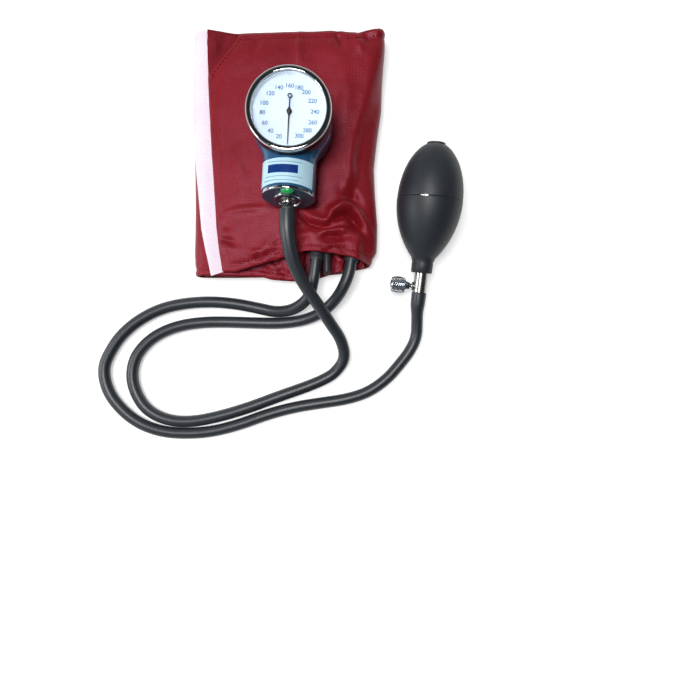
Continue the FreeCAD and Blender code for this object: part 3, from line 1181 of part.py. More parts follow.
def main():
    make_cuff()
    make_tapes()
    make_bladder()
    make_case()
    make_neck_cap()
    make_nipple()
    make_seal_and_label()
    make_bezel()
    make_dial()
    make_pointer()
    make_pinion()
    make_sector()
    make_plates()
    make_hairspring()
    make_rocker()
    make_capsule()
    make_air_pipe()
    make_clip()
    make_bulb()
    make_inlet_valve()
    make_valve()
    make_release_screw()
    make_hose("gauge_hose", GAUGE_HOSE_ROUTE)
    make_hose("bulb_hose", BULB_HOSE_ROUTE)
    os.makedirs("parts", exist_ok=True)
    for name, shape in PARTS.items():
        print(name, "solids", len(shape.Solids), "valid", shape.isValid(),
              "volume", round(shape.Volume, 2))
        shape.exportStep("parts/" + name + ".step")


main()
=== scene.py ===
# %% [markdown]
# # An aneroid sphygmomanometer
# A folded blood pressure cuff with its round gauge, two rubber hoses and a squeeze bulb.
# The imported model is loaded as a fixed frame. Every piece below is made in metres in that
# frame and rides on one of its bodies, so the pieces need no fitting afterwards.
# Sizes are written in millimetres, as on a drawing, and turned to metres in one place.

# %% Load the frame
import math
import bmesh
import bpy
import numpy as np
from mathutils import Matrix, Vector


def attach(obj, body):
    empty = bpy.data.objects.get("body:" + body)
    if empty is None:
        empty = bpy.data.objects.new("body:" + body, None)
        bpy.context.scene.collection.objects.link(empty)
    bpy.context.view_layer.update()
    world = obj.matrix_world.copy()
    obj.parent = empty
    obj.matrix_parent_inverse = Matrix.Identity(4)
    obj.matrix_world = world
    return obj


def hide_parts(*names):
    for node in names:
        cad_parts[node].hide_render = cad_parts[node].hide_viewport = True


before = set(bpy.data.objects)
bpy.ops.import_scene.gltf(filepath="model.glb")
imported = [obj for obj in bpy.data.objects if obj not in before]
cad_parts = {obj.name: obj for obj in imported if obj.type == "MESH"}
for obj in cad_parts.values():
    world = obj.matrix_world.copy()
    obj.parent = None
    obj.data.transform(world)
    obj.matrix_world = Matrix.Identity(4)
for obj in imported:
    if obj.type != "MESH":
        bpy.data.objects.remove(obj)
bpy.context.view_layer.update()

MM = 0.001

# %% [markdown]
# ## Camera
# The object lies on a table and is seen from straight above, from close by, so its high
# gauge looks a little larger than the cuff under it. A camera that looks straight down with
# a lens of 25.7 mm on a 36 mm sensor, 327 mm above the table, gives that perspective.

# %% Camera
camera_data = bpy.data.cameras.new("camera")
camera_data.sensor_width = 36.0
camera_data.lens = 25.714
camera_data.clip_start = 0.01
camera = bpy.data.objects.new("camera", camera_data)
camera.location = Vector((13.5, -116.2, 327.0)) * MM
bpy.context.scene.collection.objects.link(camera)
bpy.context.scene.camera = camera
bpy.context.scene.view_settings.view_transform = "Standard"
print("camera at", [round(c, 4) for c in camera.location])

# %% [markdown]
# ## Colours and nodes
# Hex colours are written for the eye, in sRGB. Blender's shaders count light, so one
# function turns each hex value to linear. A second small function adds a node, sets it and
# links it. It serves shaders and Geometry Nodes alike.

# %% Colour and node helpers
def linear(hex_code, alpha=1.0):
    """An sRGB hex colour as the linear colour a shader wants."""
    parts = [int(hex_code[i:i + 2], 16) / 255 for i in (1, 3, 5)]
    return tuple(c / 12.92 if c <= 0.04045 else ((c + 0.055) / 1.055) ** 2.4
                 for c in parts) + (alpha,)


def add(tree, kind, inputs=None, **settings):
    """Add one node: settings are its properties, inputs its values or linked sockets."""
    made = tree.nodes.new(kind)
    for name, value in settings.items():
        setattr(made, name, value)
    for name, value in (inputs or {}).items():
        if isinstance(value, bpy.types.NodeSocket):
            tree.links.new(value, made.inputs[name])
        else:
            made.inputs[name].default_value = value
    return made


def finish_of(name, **values):
    """A new material with one Principled shader, and constants on its own sockets."""
    material = bpy.data.materials.new(name)
    material.use_nodes = True
    shader = material.node_tree.nodes["Principled BSDF"]
    for key, value in values.items():
        shader.inputs[key.replace("_", " ")].default_value = value
    return material, material.node_tree, shader


def two_tones(tree, shader, amount, dark, light):
    """Base colour that drifts between two hex colours, or linear ones, by an amount."""
    ends = [linear(c) if isinstance(c, str) else c for c in (dark, light)]
    tone = add(tree, "ShaderNodeMix", {0: amount, 6: ends[0], 7: ends[1]}, data_type="RGBA")
    tree.links.new(tone.outputs[2], shader.inputs["Base Color"])
    return tone


def uneven_gloss(tree, shader, amount, low, high):
    """Roughness that runs between two values by an amount."""
    gloss = add(tree, "ShaderNodeMapRange", {"Value": amount, "To Min": low, "To Max": high})
    tree.links.new(gloss.outputs["Result"], shader.inputs["Roughness"])


def raised(tree, shader, height, strength, distance):
    """Bump from a height, at a strength and a distance in metres."""
    bump = add(tree, "ShaderNodeBump", {"Height": height, "Strength": strength,
                                        "Distance": distance})
    tree.links.new(bump.outputs["Normal"], shader.inputs["Normal"])


def bands(pitch):
    """Scale of a Wave texture whose bands repeat at a pitch in metres."""
    return 2 * math.pi / 20 / pitch


print("maroon in linear light", [round(c, 3) for c in linear("#8f2b3a")])

# %% [markdown]
# ## Hoses
# Each hose is one length of soft rubber tube, 7.4 mm thick. One joins the gauge to the
# cuff's bladder, the other the bulb's valve to the bladder. They lie in one wide loop on the
# table. A NURBS curve with a round bevel bends as evenly as rubber does, and its control
# points are the corners of the tube's route. A little extra radius at the first points
# shows the end stretched over its fitting.

# %% Hose routes
GAUGE_HOSE_ROUTE = [
    (-22.66, -35.49, 38.5), (-22.9, -42.8, 38.9), (-22.3, -52.0, 37.3), (-20.6, -62.2, 34.3),
    (-16.8, -71.9, 30.6), (-11.3, -81.1, 26.4), (-4.5, -90.6, 21.6), (1.8, -100.5, 16.2),
    (7.7, -108.9, 10.6), (10.8, -121.1, 5.9), (4.1, -130.9, 3.9), (-3.9, -135.6, 3.7),
    (-15.2, -140.2, 3.7), (-32.9, -146.3, 3.7), (-51.7, -153.4, 3.7), (-70.6, -159.1, 3.7),
    (-89.2, -162.8, 3.7), (-104.5, -161.8, 3.7), (-117.1, -155.7, 3.7), (-124.2, -146.0, 3.7),
    (-127.8, -134.1, 3.7), (-125.8, -121.7, 3.7), (-118.7, -112.1, 3.7), (-109.4, -105.3, 3.7),
    (-96.7, -100.4, 3.7), (-81.5, -98.2, 3.7), (-65.7, -98.1, 3.7), (-48.9, -98.7, 3.7),
    (-32.0, -99.1, 3.7), (-17.1, -97.4, 4.2), (-4.5, -92.5, 6.8), (4.8, -84.3, 11.4),
    (10.4, -75.2, 15.4), (13.9, -65.4, 16.4), (15.0, -54.6, 16.4)]
BULB_HOSE_ROUTE = [
    (57.03, -80.09, 11.69), (56.6, -84.6, 11.0), (56.2, -88.6, 10.2), (56.2, -92.4, 9.1),
    (56.4, -98.0, 6.9), (56.4, -107.8, 4.5),
    (52.3, -116.9, 3.7), (45.3, -125.9, 3.7), (37.3, -135.1, 3.7), (25.3, -143.6, 3.7),
    (11.1, -148.1, 3.7), (-5.9, -150.5, 3.7), (-22.6, -153.2, 3.7), (-39.7, -157.7, 3.7),
    (-58.0, -164.5, 3.7), (-75.6, -169.0, 3.7), (-91.1, -170.2, 3.7), (-106.8, -169.3, 3.7),
    (-121.4, -164.5, 3.7), (-133.4, -155.8, 3.7), (-143.1, -143.4, 3.7), (-146.4, -128.1, 3.7),
    (-140.9, -115.9, 3.7), (-133.8, -105.9, 3.7), (-122.9, -96.7, 3.7), (-108.8, -89.4, 3.7),
    (-92.7, -85.8, 3.7), (-75.6, -84.9, 3.7), (-59.6, -86.4, 3.7), (-44.4, -89.5, 3.7),
    (-33.9, -91.9, 4.6), (-22.0, -90.5, 7.8), (-12.2, -83.5, 12.1), (-9.6, -74.0, 15.6),
    (-7.9, -64.5, 16.4), (-6.9, -54.0, 16.4)]
HOSE_RADIUS = 3.7


def lay_hose(name, route, swell):
    """A round tube along a NURBS line, in metres, swollen over the fitting at its start."""
    data = bpy.data.curves.new(name, "CURVE")
    data.dimensions = "3D"
    data.bevel_depth = HOSE_RADIUS * MM
    data.bevel_resolution = 7
    data.resolution_u = 10
    data.use_fill_caps = True
    line = data.splines.new("NURBS")
    line.points.add(len(route) - 1)
    for i, (point, place) in enumerate(zip(line.points, route)):
        point.co = (place[0] * MM, place[1] * MM, place[2] * MM, 1.0)
        point.radius = swell[i] if i < len(swell) else 1.0
    line.order_u = 3
    line.use_endpoint_u = True
    hose = bpy.data.objects.new(name, data)
    bpy.context.scene.collection.objects.link(hose)
    return hose


gauge_hose = lay_hose("gauge_hose_tube", GAUGE_HOSE_ROUTE, (1.3, 1.28, 1.22, 1.14, 1.06, 1.02))
bulb_hose = lay_hose("bulb_hose_tube", BULB_HOSE_ROUTE, (1.26, 1.25, 1.2, 1.02))
for hose in (gauge_hose, bulb_hose):
    print(hose.name, "length", round(hose.data.splines[0].calc_length(), 4), "m")

# %% [markdown]
# ## Rubber
# Hoses and bulb are moulded or extruded synthetic rubber: near black, a little blue, and
# satin, with a soft bloom where it was handled. Fine noise in the roughness and a low bump
# break the highlight up as real rubber does. O-rings are the same but darker.

# %% Rubber finishes
def rubber(name, dark, light, roughness, grain, shine=0.4):
    """Satin rubber: its colour drifts between two greys and its sheen is uneven."""
    material, tree, shader = finish_of(name, Specular_IOR_Level=shine)
    place = add(tree, "ShaderNodeTexCoord").outputs["Object"]
    drift = add(tree, "ShaderNodeTexNoise", {"Vector": place, "Scale": 55.0, "Detail": 4.0})
    two_tones(tree, shader, drift.outputs["Fac"], dark, light)
    fine = add(tree, "ShaderNodeTexNoise", {"Vector": place, "Scale": grain, "Detail": 6.0})
    uneven_gloss(tree, shader, fine.outputs["Fac"], roughness - 0.07, roughness + 0.09)
    raised(tree, shader, fine.outputs["Fac"], 0.12, 0.0002)
    return material


hose_rubber = rubber("extruded_hose_rubber_satin", "#181d23", "#29313a", 0.4, 1900.0, 0.7)
bulb_rubber = rubber("moulded_bulb_rubber_satin", "#1a1f24", "#2a3037", 0.47, 800.0, 0.46)
seal_rubber = rubber("o_ring_rubber", "#101112", "#1b1d1e", 0.4, 2500.0)
bladder_rubber = rubber("dipped_bladder_rubber", "#2a2c30", "#3c3f45", 0.42, 900.0)
for hose in (gauge_hose, bulb_hose):
    hose.data.materials.append(hose_rubber)
print("rubber finishes", 4)

# %% [markdown]
# ## Table and light
# The object stands on white paper. The paper is white by its own colour and by a little
# light that only cameras, mirrors and glass see, so it stays white while it keeps the
# object's soft shadow. A lamp hangs nearly overhead, a little to the left, and a weak one
# stands far to the left. The room is pale at the sides, but dark overhead and at the front
# right: polished metal needs something dark to mirror, or it looks like white plastic.

# %% Table
paper, tree, shader = finish_of("white_paper_table", Roughness=0.9, Specular_IOR_Level=0.1)
shader.inputs["Base Color"].default_value = linear("#dcdcdc")
path = add(tree, "ShaderNodeLightPath")
seen = add(tree, "ShaderNodeMath", {0: path.outputs["Is Camera Ray"],
                                    1: path.outputs["Is Glossy Ray"]}, operation="MAXIMUM")
seen = add(tree, "ShaderNodeMath", {0: seen.outputs[0],
                                    1: path.outputs["Is Transmission Ray"]}, operation="MAXIMUM")
away = add(tree, "ShaderNodeVectorMath", {0: add(tree, "ShaderNodeTexCoord").outputs["Object"]},
           operation="LENGTH")
level = add(tree, "ShaderNodeMapRange", {"Value": away.outputs["Value"], "From Min": 0.3,
                                         "From Max": 1.4, "To Min": 0.5, "To Max": 0.8})
glow = add(tree, "ShaderNodeMath", {0: seen.outputs[0], 1: level.outputs["Result"]},
           operation="MULTIPLY")
shader.inputs["Emission Color"].default_value = (1.0, 1.0, 1.0, 1.0)
tree.links.new(glow.outputs[0], shader.inputs["Emission Strength"])

mesh = bpy.data.meshes.new("table")
mesh.from_pydata([(-3, -3, 0), (3, -3, 0), (3, 3, 0), (-3, 3, 0)], [], [(0, 1, 2, 3)])
table = bpy.data.objects.new("table", mesh)
table.location.z = -0.0002
mesh.materials.append(paper)
bpy.context.scene.collection.objects.link(table)
print("table made")

# %% Lamps and room
def lamp(name, place, aim, size, watts, tint="#ffffff"):
    """A round area lamp at a place, in metres, that points at an aim."""
    data = bpy.data.lights.new(name, "AREA")
    data.shape = "DISK"
    data.size = size
    data.energy = watts
    data.color = linear(tint)[:3]
    made = bpy.data.objects.new(name, data)
    made.location = place
    made.rotation_euler = (Vector(aim) - Vector(place)).to_track_quat("-Z", "Y").to_euler()
    bpy.context.scene.collection.objects.link(made)
    return made


lamp("window_lamp", (-0.13, -0.03, 0.94), (-0.02, -0.04, 0.0), 0.36, 6.3)
lamp("side_lamp", (-0.75, -0.1, 0.42), (-0.02, -0.02, 0.0), 0.3, 2.0)

world = bpy.data.worlds.new("room")
bpy.context.scene.world = world
world.use_nodes = True
tree = world.node_tree
backdrop = tree.nodes["Background"]
way = add(tree, "ShaderNodeTexCoord").outputs["Generated"]
height = add(tree, "ShaderNodeSeparateXYZ", {"Vector": way}).outputs["Z"]
ceiling = add(tree, "ShaderNodeMapRange", {"Value": height, "From Min": 0.62, "From Max": 0.84,
                                           "To Min": 0.46, "To Max": 0.03},
              interpolation_type="SMOOTHSTEP")
facing = add(tree, "ShaderNodeVectorMath", {0: way, 1: (0.8, -0.6, 0.0)}, operation="DOT_PRODUCT")
wall = add(tree, "ShaderNodeMapRange", {"Value": facing.outputs["Value"], "From Min": 0.1,
                                        "From Max": 0.7, "To Min": 1.0, "To Max": 0.12},
           interpolation_type="SMOOTHSTEP")
dim = add(tree, "ShaderNodeMath", {0: ceiling.outputs["Result"], 1: wall.outputs["Result"]},
          operation="MULTIPLY")
path = add(tree, "ShaderNodeLightPath")
level = add(tree, "ShaderNodeMix", {0: path.outputs["Is Camera Ray"],
                                    2: dim.outputs[0], 3: 1.0}, data_type="FLOAT")
tree.links.new(level.outputs[0], backdrop.inputs["Strength"])
backdrop.inputs["Color"].default_value = (1.0, 1.0, 1.0, 1.0)

# %% [markdown]
# ## Mesh helpers
# Rigid pieces such as the case and the chrome fittings are already right in the packed
# model. Their meshes are loose triangles, which mirror badly, so each is copied, its
# triangles are joined, and its normals are smoothed up to the real edges. Turned pieces
# are drawn as a half outline and spun in code.

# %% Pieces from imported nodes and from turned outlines
def place_piece(name, mesh, material, slot, *nodes, body="set"):
    """Link a finished mesh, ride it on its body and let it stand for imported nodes."""
    made = bpy.data.objects.new(name, mesh)
    bpy.context.scene.collection.objects.link(made)
    mesh.materials.clear()
    mesh.materials.append(material)
    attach(made, body)
    if nodes:
        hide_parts(*nodes)
    return made


def smooth_copy(node, material, slot, angle=32.0, body="set"):
    """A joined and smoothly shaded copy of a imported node's mesh, which replaces it."""
    data = bmesh.new()
    data.from_mesh(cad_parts[node].data)
    bmesh.ops.remove_doubles(data, verts=data.verts, dist=2e-6)
    bmesh.ops.dissolve_degenerate(data, edges=data.edges, dist=1e-6)
    mesh = bpy.data.meshes.new(node + "_finished")
    data.to_mesh(mesh)
    data.free()
    if "custom_normal" in mesh.attributes:
        mesh.attributes.remove(mesh.attributes["custom_normal"])
    mesh.shade_smooth()
    mesh.set_sharp_from_angle(angle=math.radians(angle))
    made = place_piece(node + "_finished", mesh, material, slot, node, body=body)
    weighted = made.modifiers.new("even_normals", "WEIGHTED_NORMAL")
    weighted.keep_sharp = True
    weighted.mode = "CORNER_ANGLE"
    return made


def face_outwards(mesh):
    """Recalculate a closed mesh's normals, since a spin or a fold can turn them inside out."""
    data = bmesh.new()
    data.from_mesh(mesh)
    bmesh.ops.recalc_face_normals(data, faces=data.faces)
    data.to_mesh(mesh)
    data.free()


def turned(name, outline, steps=96, matrix=None, closed=True):
    """A mesh spun from (radius, height) points in millimetres, about Z, then placed.

    A closed outline is joined from its last point to its first, as on a ring."""
    verts, faces, rings = [], [], []
    for radius, level in outline:
        if radius < 1e-6:
            rings.append([len(verts)])
            verts.append((0.0, 0.0, level * MM))
            continue
        rings.append(list(range(len(verts), len(verts) + steps)))
        for i in range(steps):
            a = 2 * math.pi * i / steps
            verts.append((radius * MM * math.cos(a), radius * MM * math.sin(a), level * MM))
    pairs = list(zip(rings, rings[1:] + rings[:1])) if closed else list(zip(rings, rings[1:]))
    for low, high in pairs:
        for i in range(steps):
            j = (i + 1) % steps
            if len(low) == 1 and len(high) == 1:
                continue
            if len(low) == 1:
                faces.append((low[0], high[j], high[i]))
            elif len(high) == 1:
                faces.append((low[i], low[j], high[0]))
            else:
                faces.append((low[i], low[j], high[j], high[i]))
    mesh = bpy.data.meshes.new(name)
    mesh.from_pydata(verts, [], faces)
    mesh.validate()
    face_outwards(mesh)
    if matrix:
        mesh.transform(matrix)
    mesh.shade_smooth()
    mesh.set_sharp_from_angle(angle=math.radians(40))
    return mesh


# The gauge's own frame: its origin is on the case's axis, at the case's back.
GAUGE_ORIGIN = (-20.0, 15.4, 24.0)
GAUGE_TURN = math.radians(-3)
GAUGE = Matrix.Translation(Vector(GAUGE_ORIGIN) * MM) @ Matrix.Rotation(GAUGE_TURN, 4, "Z")
print("gauge frame", [round(v, 4) for v in GAUGE.translation])

# %% [markdown]
# ## Metal, enamel and glass
# The case is cast metal under glossy blue enamel, which pools a little, so its gloss has a
# slow ripple. Bezel, cap and nut are brass with bright chrome: nearly a mirror, with very
# fine polishing marks. The nipple and the valve's body are duller nickel. The movement
# inside is turned brass and drawn steel. The glass is thin and clear.

# %% Hard finishes
def metal(name, colour, roughness, scratch, ripple=0.0):
    """Polished or drawn metal: fine marks run through its roughness, a slow ripple bends it."""
    material, tree, shader = finish_of(name, Metallic=1.0)
    place = add(tree, "ShaderNodeTexCoord").outputs["Object"]
    marks = add(tree, "ShaderNodeTexNoise", {"Vector": place, "Scale": scratch, "Detail": 8.0,
                                             "Roughness": 0.7})
    duller = tuple(0.86 * c for c in linear(colour)[:3]) + (1.0,)
    two_tones(tree, shader, marks.outputs["Fac"], colour, duller)
    uneven_gloss(tree, shader, marks.outputs["Fac"], roughness * 0.6, roughness * 1.5)
    slow = add(tree, "ShaderNodeTexNoise", {"Vector": place, "Scale": 160.0, "Detail": 1.0})
    raised(tree, shader, slow.outputs["Fac"], ripple, 0.0004)
    return material


chrome = metal("bright_chrome_plate", "#c9cccf", 0.07, 900.0, 0.06)
steel = metal("drawn_steel", "#a9a8a4", 0.3, 2200.0)
brass = metal("turned_brass", "#c39b4e", 0.28, 1800.0)
bronze = metal("formed_bronze_sheet", "#b08a4a", 0.34, 700.0)

enamel, tree, shader = finish_of("glossy_blue_enamel", Roughness=0.26, Coat_Weight=0.3,
                                 Coat_Roughness=0.06, Specular_IOR_Level=0.3)
place = add(tree, "ShaderNodeTexCoord").outputs["Object"]
pool = add(tree, "ShaderNodeTexNoise", {"Vector": place, "Scale": 70.0, "Detail": 3.0})
two_tones(tree, shader, pool.outputs["Fac"], "#144466", "#235d88")
orange_peel = add(tree, "ShaderNodeTexNoise", {"Vector": place, "Scale": 420.0, "Detail": 2.0})
raised(tree, shader, orange_peel.outputs["Fac"], 0.15, 0.0003)

glass, tree, shader = finish_of("clear_gauge_glass", Roughness=0.02, IOR=1.45,
                                Transmission_Weight=1.0)
shader.inputs["Base Color"].default_value = linear("#fbfdff")
output = tree.nodes["Material Output"]
path = add(tree, "ShaderNodeLightPath")
clear = add(tree, "ShaderNodeBsdfTransparent")
through = add(tree, "ShaderNodeMixShader", {0: path.outputs["Is Shadow Ray"],
                                            1: shader.outputs["BSDF"],
                                            2: clear.outputs["BSDF"]})
tree.links.new(through.outputs[0], output.inputs["Surface"])
print("hard finishes made")

# %% [markdown]
# ## The cuff's cloth
# The cuff is a flat bag of coated nylon, 540 mm long and 150 mm wide, with the bladder sewn
# in. It is rolled up in five layers. Two sheets of cloth make it, the outer and the inner
# panel. Each is drawn here as one grid: one way along the roll, one way along the arm. The
# grid follows the roll's section, and a few functions then settle it as cloth settles:
# it thins at its hems, sinks towards the fold on the right, lies in folds where the hoses
# pull at it, and lifts over the hose ports. One rule moves every layer, and a point that was
# higher stays higher, so the layers keep their order. It doesn't keep them apart everywhere:
# sheets that lie close cut into each other in places, inside the roll and at its hems.
# A simulation was left out, because a cloth that lies still in a roll has no free fall to
# find, and the folds have to be where they are.

# %% The roll's section
LAYER = [1.6, 6.1, 10.6, 15.1, 19.6]     # height of each layer's middle
HALF_GAP = 1.28                           # from a layer's middle to each panel
FLAP_LEFT = -74.0                         # the flap's free end, before its edge is slanted
SECTION = [(FLAP_LEFT, LAYER[4], 0), (-22.0, LAYER[4], 0), (32.5, LAYER[4], 8.8),
           (32.5, LAYER[0], 8.8),
           (-81.0, LAYER[0], 6.6), (-81.0, LAYER[3], 6.6), (28.0, LAYER[3], 4.4),
           (28.0, LAYER[1], 4.4), (-76.5, LAYER[1], 2.2), (-76.5, LAYER[2], 2.2),
           (-7.27, LAYER[2], 0)]


def walk_section(corners, steps=7):
    """Points, outward directions and lengths along the roll, with round folds."""
    points = []
    for i, (x, z, radius) in enumerate(corners):
        here = np.array([x, z])
        if radius == 0:
            points.append(here)
            continue
        before = np.array(corners[i - 1][:2]) - here
        after = np.array(corners[i + 1][:2]) - here
        before, after = before / np.linalg.norm(before), after / np.linalg.norm(after)
        middle = here + (before + after) * radius
        for k in range(steps + 1):
            a = math.pi / 2 * k / steps
            points.append(middle - after * radius * math.cos(a) - before * radius * math.sin(a))
    line = [points[0]]
    for a, b in zip(points, points[1:]):
        step = 2.4 if a[1] + b[1] < 2 * LAYER[4] else 1.8 if b[0] < -20 else 1.15
        pieces = max(1, math.ceil(np.linalg.norm(b - a) / step))
        line += [a + (b - a) * k / pieces for k in range(1, pieces + 1)]
    line = np.array(line)
    length = np.concatenate([[0], np.cumsum(np.linalg.norm(np.diff(line, axis=0), axis=1))])
    run = np.gradient(line, axis=0)
    run /= np.linalg.norm(run, axis=1)[:, None]
    out = np.stack([-run[:, 1], run[:, 0]], axis=1)
    return line, out, length


section, outward, along = walk_section(SECTION)
print("roll section", len(section), "points,", round(float(along[-1]), 1), "mm long")

# %% How cloth settles
def smooth(low, high, value):
    """Goes evenly from 0 at low to 1 at high. With low above high it falls instead."""
    t = np.clip((value - low) / (high - low), 0, 1)
    return t * t * (3 - 2 * t)


# Folds in the cloth: points of the fold's line, its height, and its half width on the left
# and on the right of that line. The steeper side is the narrower one.
FOLDS = [
    ([(-17.3, -33), (-15, -35.6), (-11.7, -38.4), (-4.3, -41.2), (3.1, -41.7), (9.2, -40.7)],
     -2.2, 2.2, 0.9),
    ([(-14, -31.5), (-9, -35.5), (-2, -37.8), (4, -37)], 1.4, 2.6, 2.6),
    ([(0.6, -36), (3, -31), (10.4, -27.4), (17.8, -28.3), (22, -32.6), (25.8, -38.8),
      (28.2, -43.7)], 2.6, 2.6, 2.0),
    ([(1.5, -37.8), (7.4, -34), (12.3, -32.8), (17.2, -35.5), (21, -40)], -2.8, 1.5, 2.0),
    ([(-6, -46.2), (-0.6, -43.1), (7.4, -42.5), (14.7, -44.3), (21, -47.4), (26.4, -50.5)], 1.9, 2.4, 1.9),
    ([(-5, -48), (1.2, -46.8), (8, -47.1)], -2.2, 1.5, 2.0),
    ([(-6, -51.7), (1.2, -52.3), (10.4, -51), (18.4, -48.6)], 1.2, 1.8, 2.0),
    ([(-19, -47), (-10, -45), (-8, -49.5)], 1.3, 2.6, 2.6),
    ([(9, -18), (14, -22), (22, -24)], -1.0, 3.4, 3.4),
    ([(16, 14), (18, -2), (20, -14), (26, -24)], 0.5, 3.2, 3.2),
    ([(-64, -47.5), (-60, -49), (-56, -51.5)], -1.4, 1.2, 2.2),
    ([(-62.8, -38.5), (-61, -42)], -0.8, 1.2, 1.8),
    ([(-61, -30.6), (-50, -29.4), (-38, -28.8)], 0.7, 1.0, 2.2),
    ([(-53, -61), (-40, -54.5), (-27, -48.5), (-19, -44)], 0.5, 3.4, 2.6),
    ([(-50.8, -53), (-45.7, -57.5), (-42.6, -55), (-36.7, -58.5)], 0.45, 1.2, 1.2),
    ([(-34, -52), (-24, -47)], -0.8, 2.4, 1.6),
    ([(5, 80), (9.5, 70)], -1.2, 1.6, 2.4),
    ([(16, 79), (20, 68)], 0.9, 2.8, 2.0),
    ([(22, 78), (24.5, 72)], -1.0, 1.6, 1.2),
    ([(24, 80), (33, 78)], 0.9, 2.6, 2.6),
    ([(-17, 80), (-19, 60)], 0.5, 3.0, 2.2),
    ([(-42, 80), (-47, 63)], -0.4, 2.4, 2.4),
    ([(-68, 40), (-66, 10)], 0.35, 2.0, 2.0),
    ([(-52, -22), (-56, 4)], 0.35, 3.5, 3.5),
    ([(8, 62), (12, 40), (9, 22)], 0.6, 5.0, 5.0),
    ([(3, -54), (4.5, -50)], -0.8, 1.2, 1.2),
    ([(9, -55), (11, -51)], 0.9, 1.1, 1.1),
    ([(14.5, -56), (16, -52.5)], -0.8, 1.0, 1.3),
    ([(22, -58), (22.5, -53)], -0.9, 1.2, 1.2),
    ([(-72, 60), (-62, 77)], -1.3, 1.4, 2.4),
    ([(-74, 72), (-66, 79)], 1.1, 1.6, 1.6),
]


def fold_height(x, y):
    """Height that the folds add at a place on the cloth."""
    total = np.zeros_like(x)
    for line, height, left, right in FOLDS:
        nearest, share, width = np.full_like(x, 1e9), np.zeros_like(x), np.full_like(x, left)
        for i, ((ax, ay), (bx, by)) in enumerate(zip(line, line[1:])):
            dx, dy = bx - ax, by - ay
            t = np.clip(((x - ax) * dx + (y - ay) * dy) / (dx * dx + dy * dy), 0, 1)
            gap = np.hypot(x - ax - t * dx, y - ay - t * dy)
            turn = (dx * (y - ay) - dy * (x - ax)) / np.hypot(dx, dy)
            lean = smooth(-0.8, 0.8, turn)
            closer = gap < nearest
            share = np.where(closer, (i + t) / (len(line) - 1), share)
            width = np.where(closer, lean * left + (1 - lean) * right, width)
            nearest = np.minimum(nearest, gap)
        total += height * np.exp(-(nearest / width) ** 2) * (0.35 + 0.65 * np.sin(np.pi * share))
    return total


def ripple(x, y, seed, size):
    """A slow, seeded wave field: cloth is never quite flat."""
    pick = np.random.default_rng(seed)
    total = np.zeros_like(x)
    for _ in range(9):
        turn, phase, pace = pick.uniform(0, math.pi), pick.uniform(0, 6.28), pick.uniform(0.7, 1.5)
        total += np.sin((x * math.cos(turn) + y * math.sin(turn)) * 2 * math.pi * pace / size + phase)
    return total / 9


PORTS = [14.6, -7.5, -0.9]                # X of the hose ports and the closed port at the hem
PORT_TOPS = [22.3, 22.3, 19.9]            # how high the flap's cloth rides over each of them
FOLD_GAIN = 2.2                           # how strongly the drawn folds stand out
ROLL_HEIGHT = 21.2                        # of the whole roll; upper layers wave the most


def settle(x, y, z, top):
    """Cloth places in millimetres after the cloth has settled. top is 1 on the flap."""
    # The roll gets thinner right of a slanting line, at both hems, and in the lower layers
    # where they lie open at the hoses' hem.
    sink_from = np.interp(y, [-70, -20, -9, 16, 50, 66, 80], [9, 10, 14, 17, 25, 27, 28])
    rest = 1 - 0.24 * smooth(0, 10, x - sink_from)
    rest = rest - 0.05 * smooth(66, 80, y) - 0.07 * smooth(-50, -68, y)
    open_hem = (1 - np.clip(top, 0, 1)) * smooth(-46, -58, y)
    open_hem = open_hem * smooth(-66, -44, x) * smooth(26, 6, x)
    rest = rest - 0.2 * open_hem
    # Cloth lies flat under the gauge and its neck. Elsewhere folds, a crumpled hem and two
    # ripples lift it, and the upper layers more than the lower ones.
    bare = 1 - np.exp(-(np.hypot(x + 20, y - 15) / 27) ** 6)
    bare = bare * (1 - 0.8 * np.exp(-((x + 22) / 13) ** 2) * smooth(-40, -20, y) * smooth(30, 10, y))
    crumple = ripple(x, y, 12, 8) * smooth(-50, -58, y) * smooth(-60, -36, x)
    wave = fold_height(x, y) * FOLD_GAIN + (4.0 - 2.4 * np.clip(top, 0, 1)) * crumple
    wave = wave + 0.42 * ripple(x, y, 3, 38) + 0.16 * ripple(x, y, 8, 13)
    height = z * rest + bare * wave * (z / ROLL_HEIGHT) ** 2
    # The right side pulls in, most of all at the hoses' hem. The left fold bulges unevenly.
    pull = np.interp(y, [-70, -62, -54, -37, -18, -1, 16, 36, 80],
                     [-7.5, -6.8, -3.4, -3.1, -4.6, -5.3, -3.4, -0.6, 0.6])
    side = x + pull * smooth(-4, 34, x)
    side = side - 2.6 * smooth(-70, -84, x) - 0.5 * smooth(-60, -82, x) * np.sin((y - 8) / 21)
    # At the top right corner the upper layers reach further out than the lower ones.
    side = side + 0.55 * (z - 10.8) * smooth(40, 78, y) * smooth(20, 31, x)
    # The flap rides up over each port, and the hems are not quite straight.
    for middle, peak in zip(PORTS, PORT_TOPS):
        cover = np.exp(-((side - middle) / 6.4) ** 4) * smooth(-38, -52, y) * np.clip(top, 0, 1)
        height = height + cover * np.maximum(0, peak + z - LAYER[4] - height)
    hem = np.interp(x, [-74, -57, -45, 4, 10, 18, 23, 34], [0, -1.8, -1.2, 0.2, -0.7, -1.3, 0.4, 2.6])
    length = y + hem * smooth(45, 80, y) + 0.35 * ripple(x, z * 3, 5, 26) * smooth(60, 80, np.abs(y))
    return side, length, height


print("fold lines", len(FOLDS))

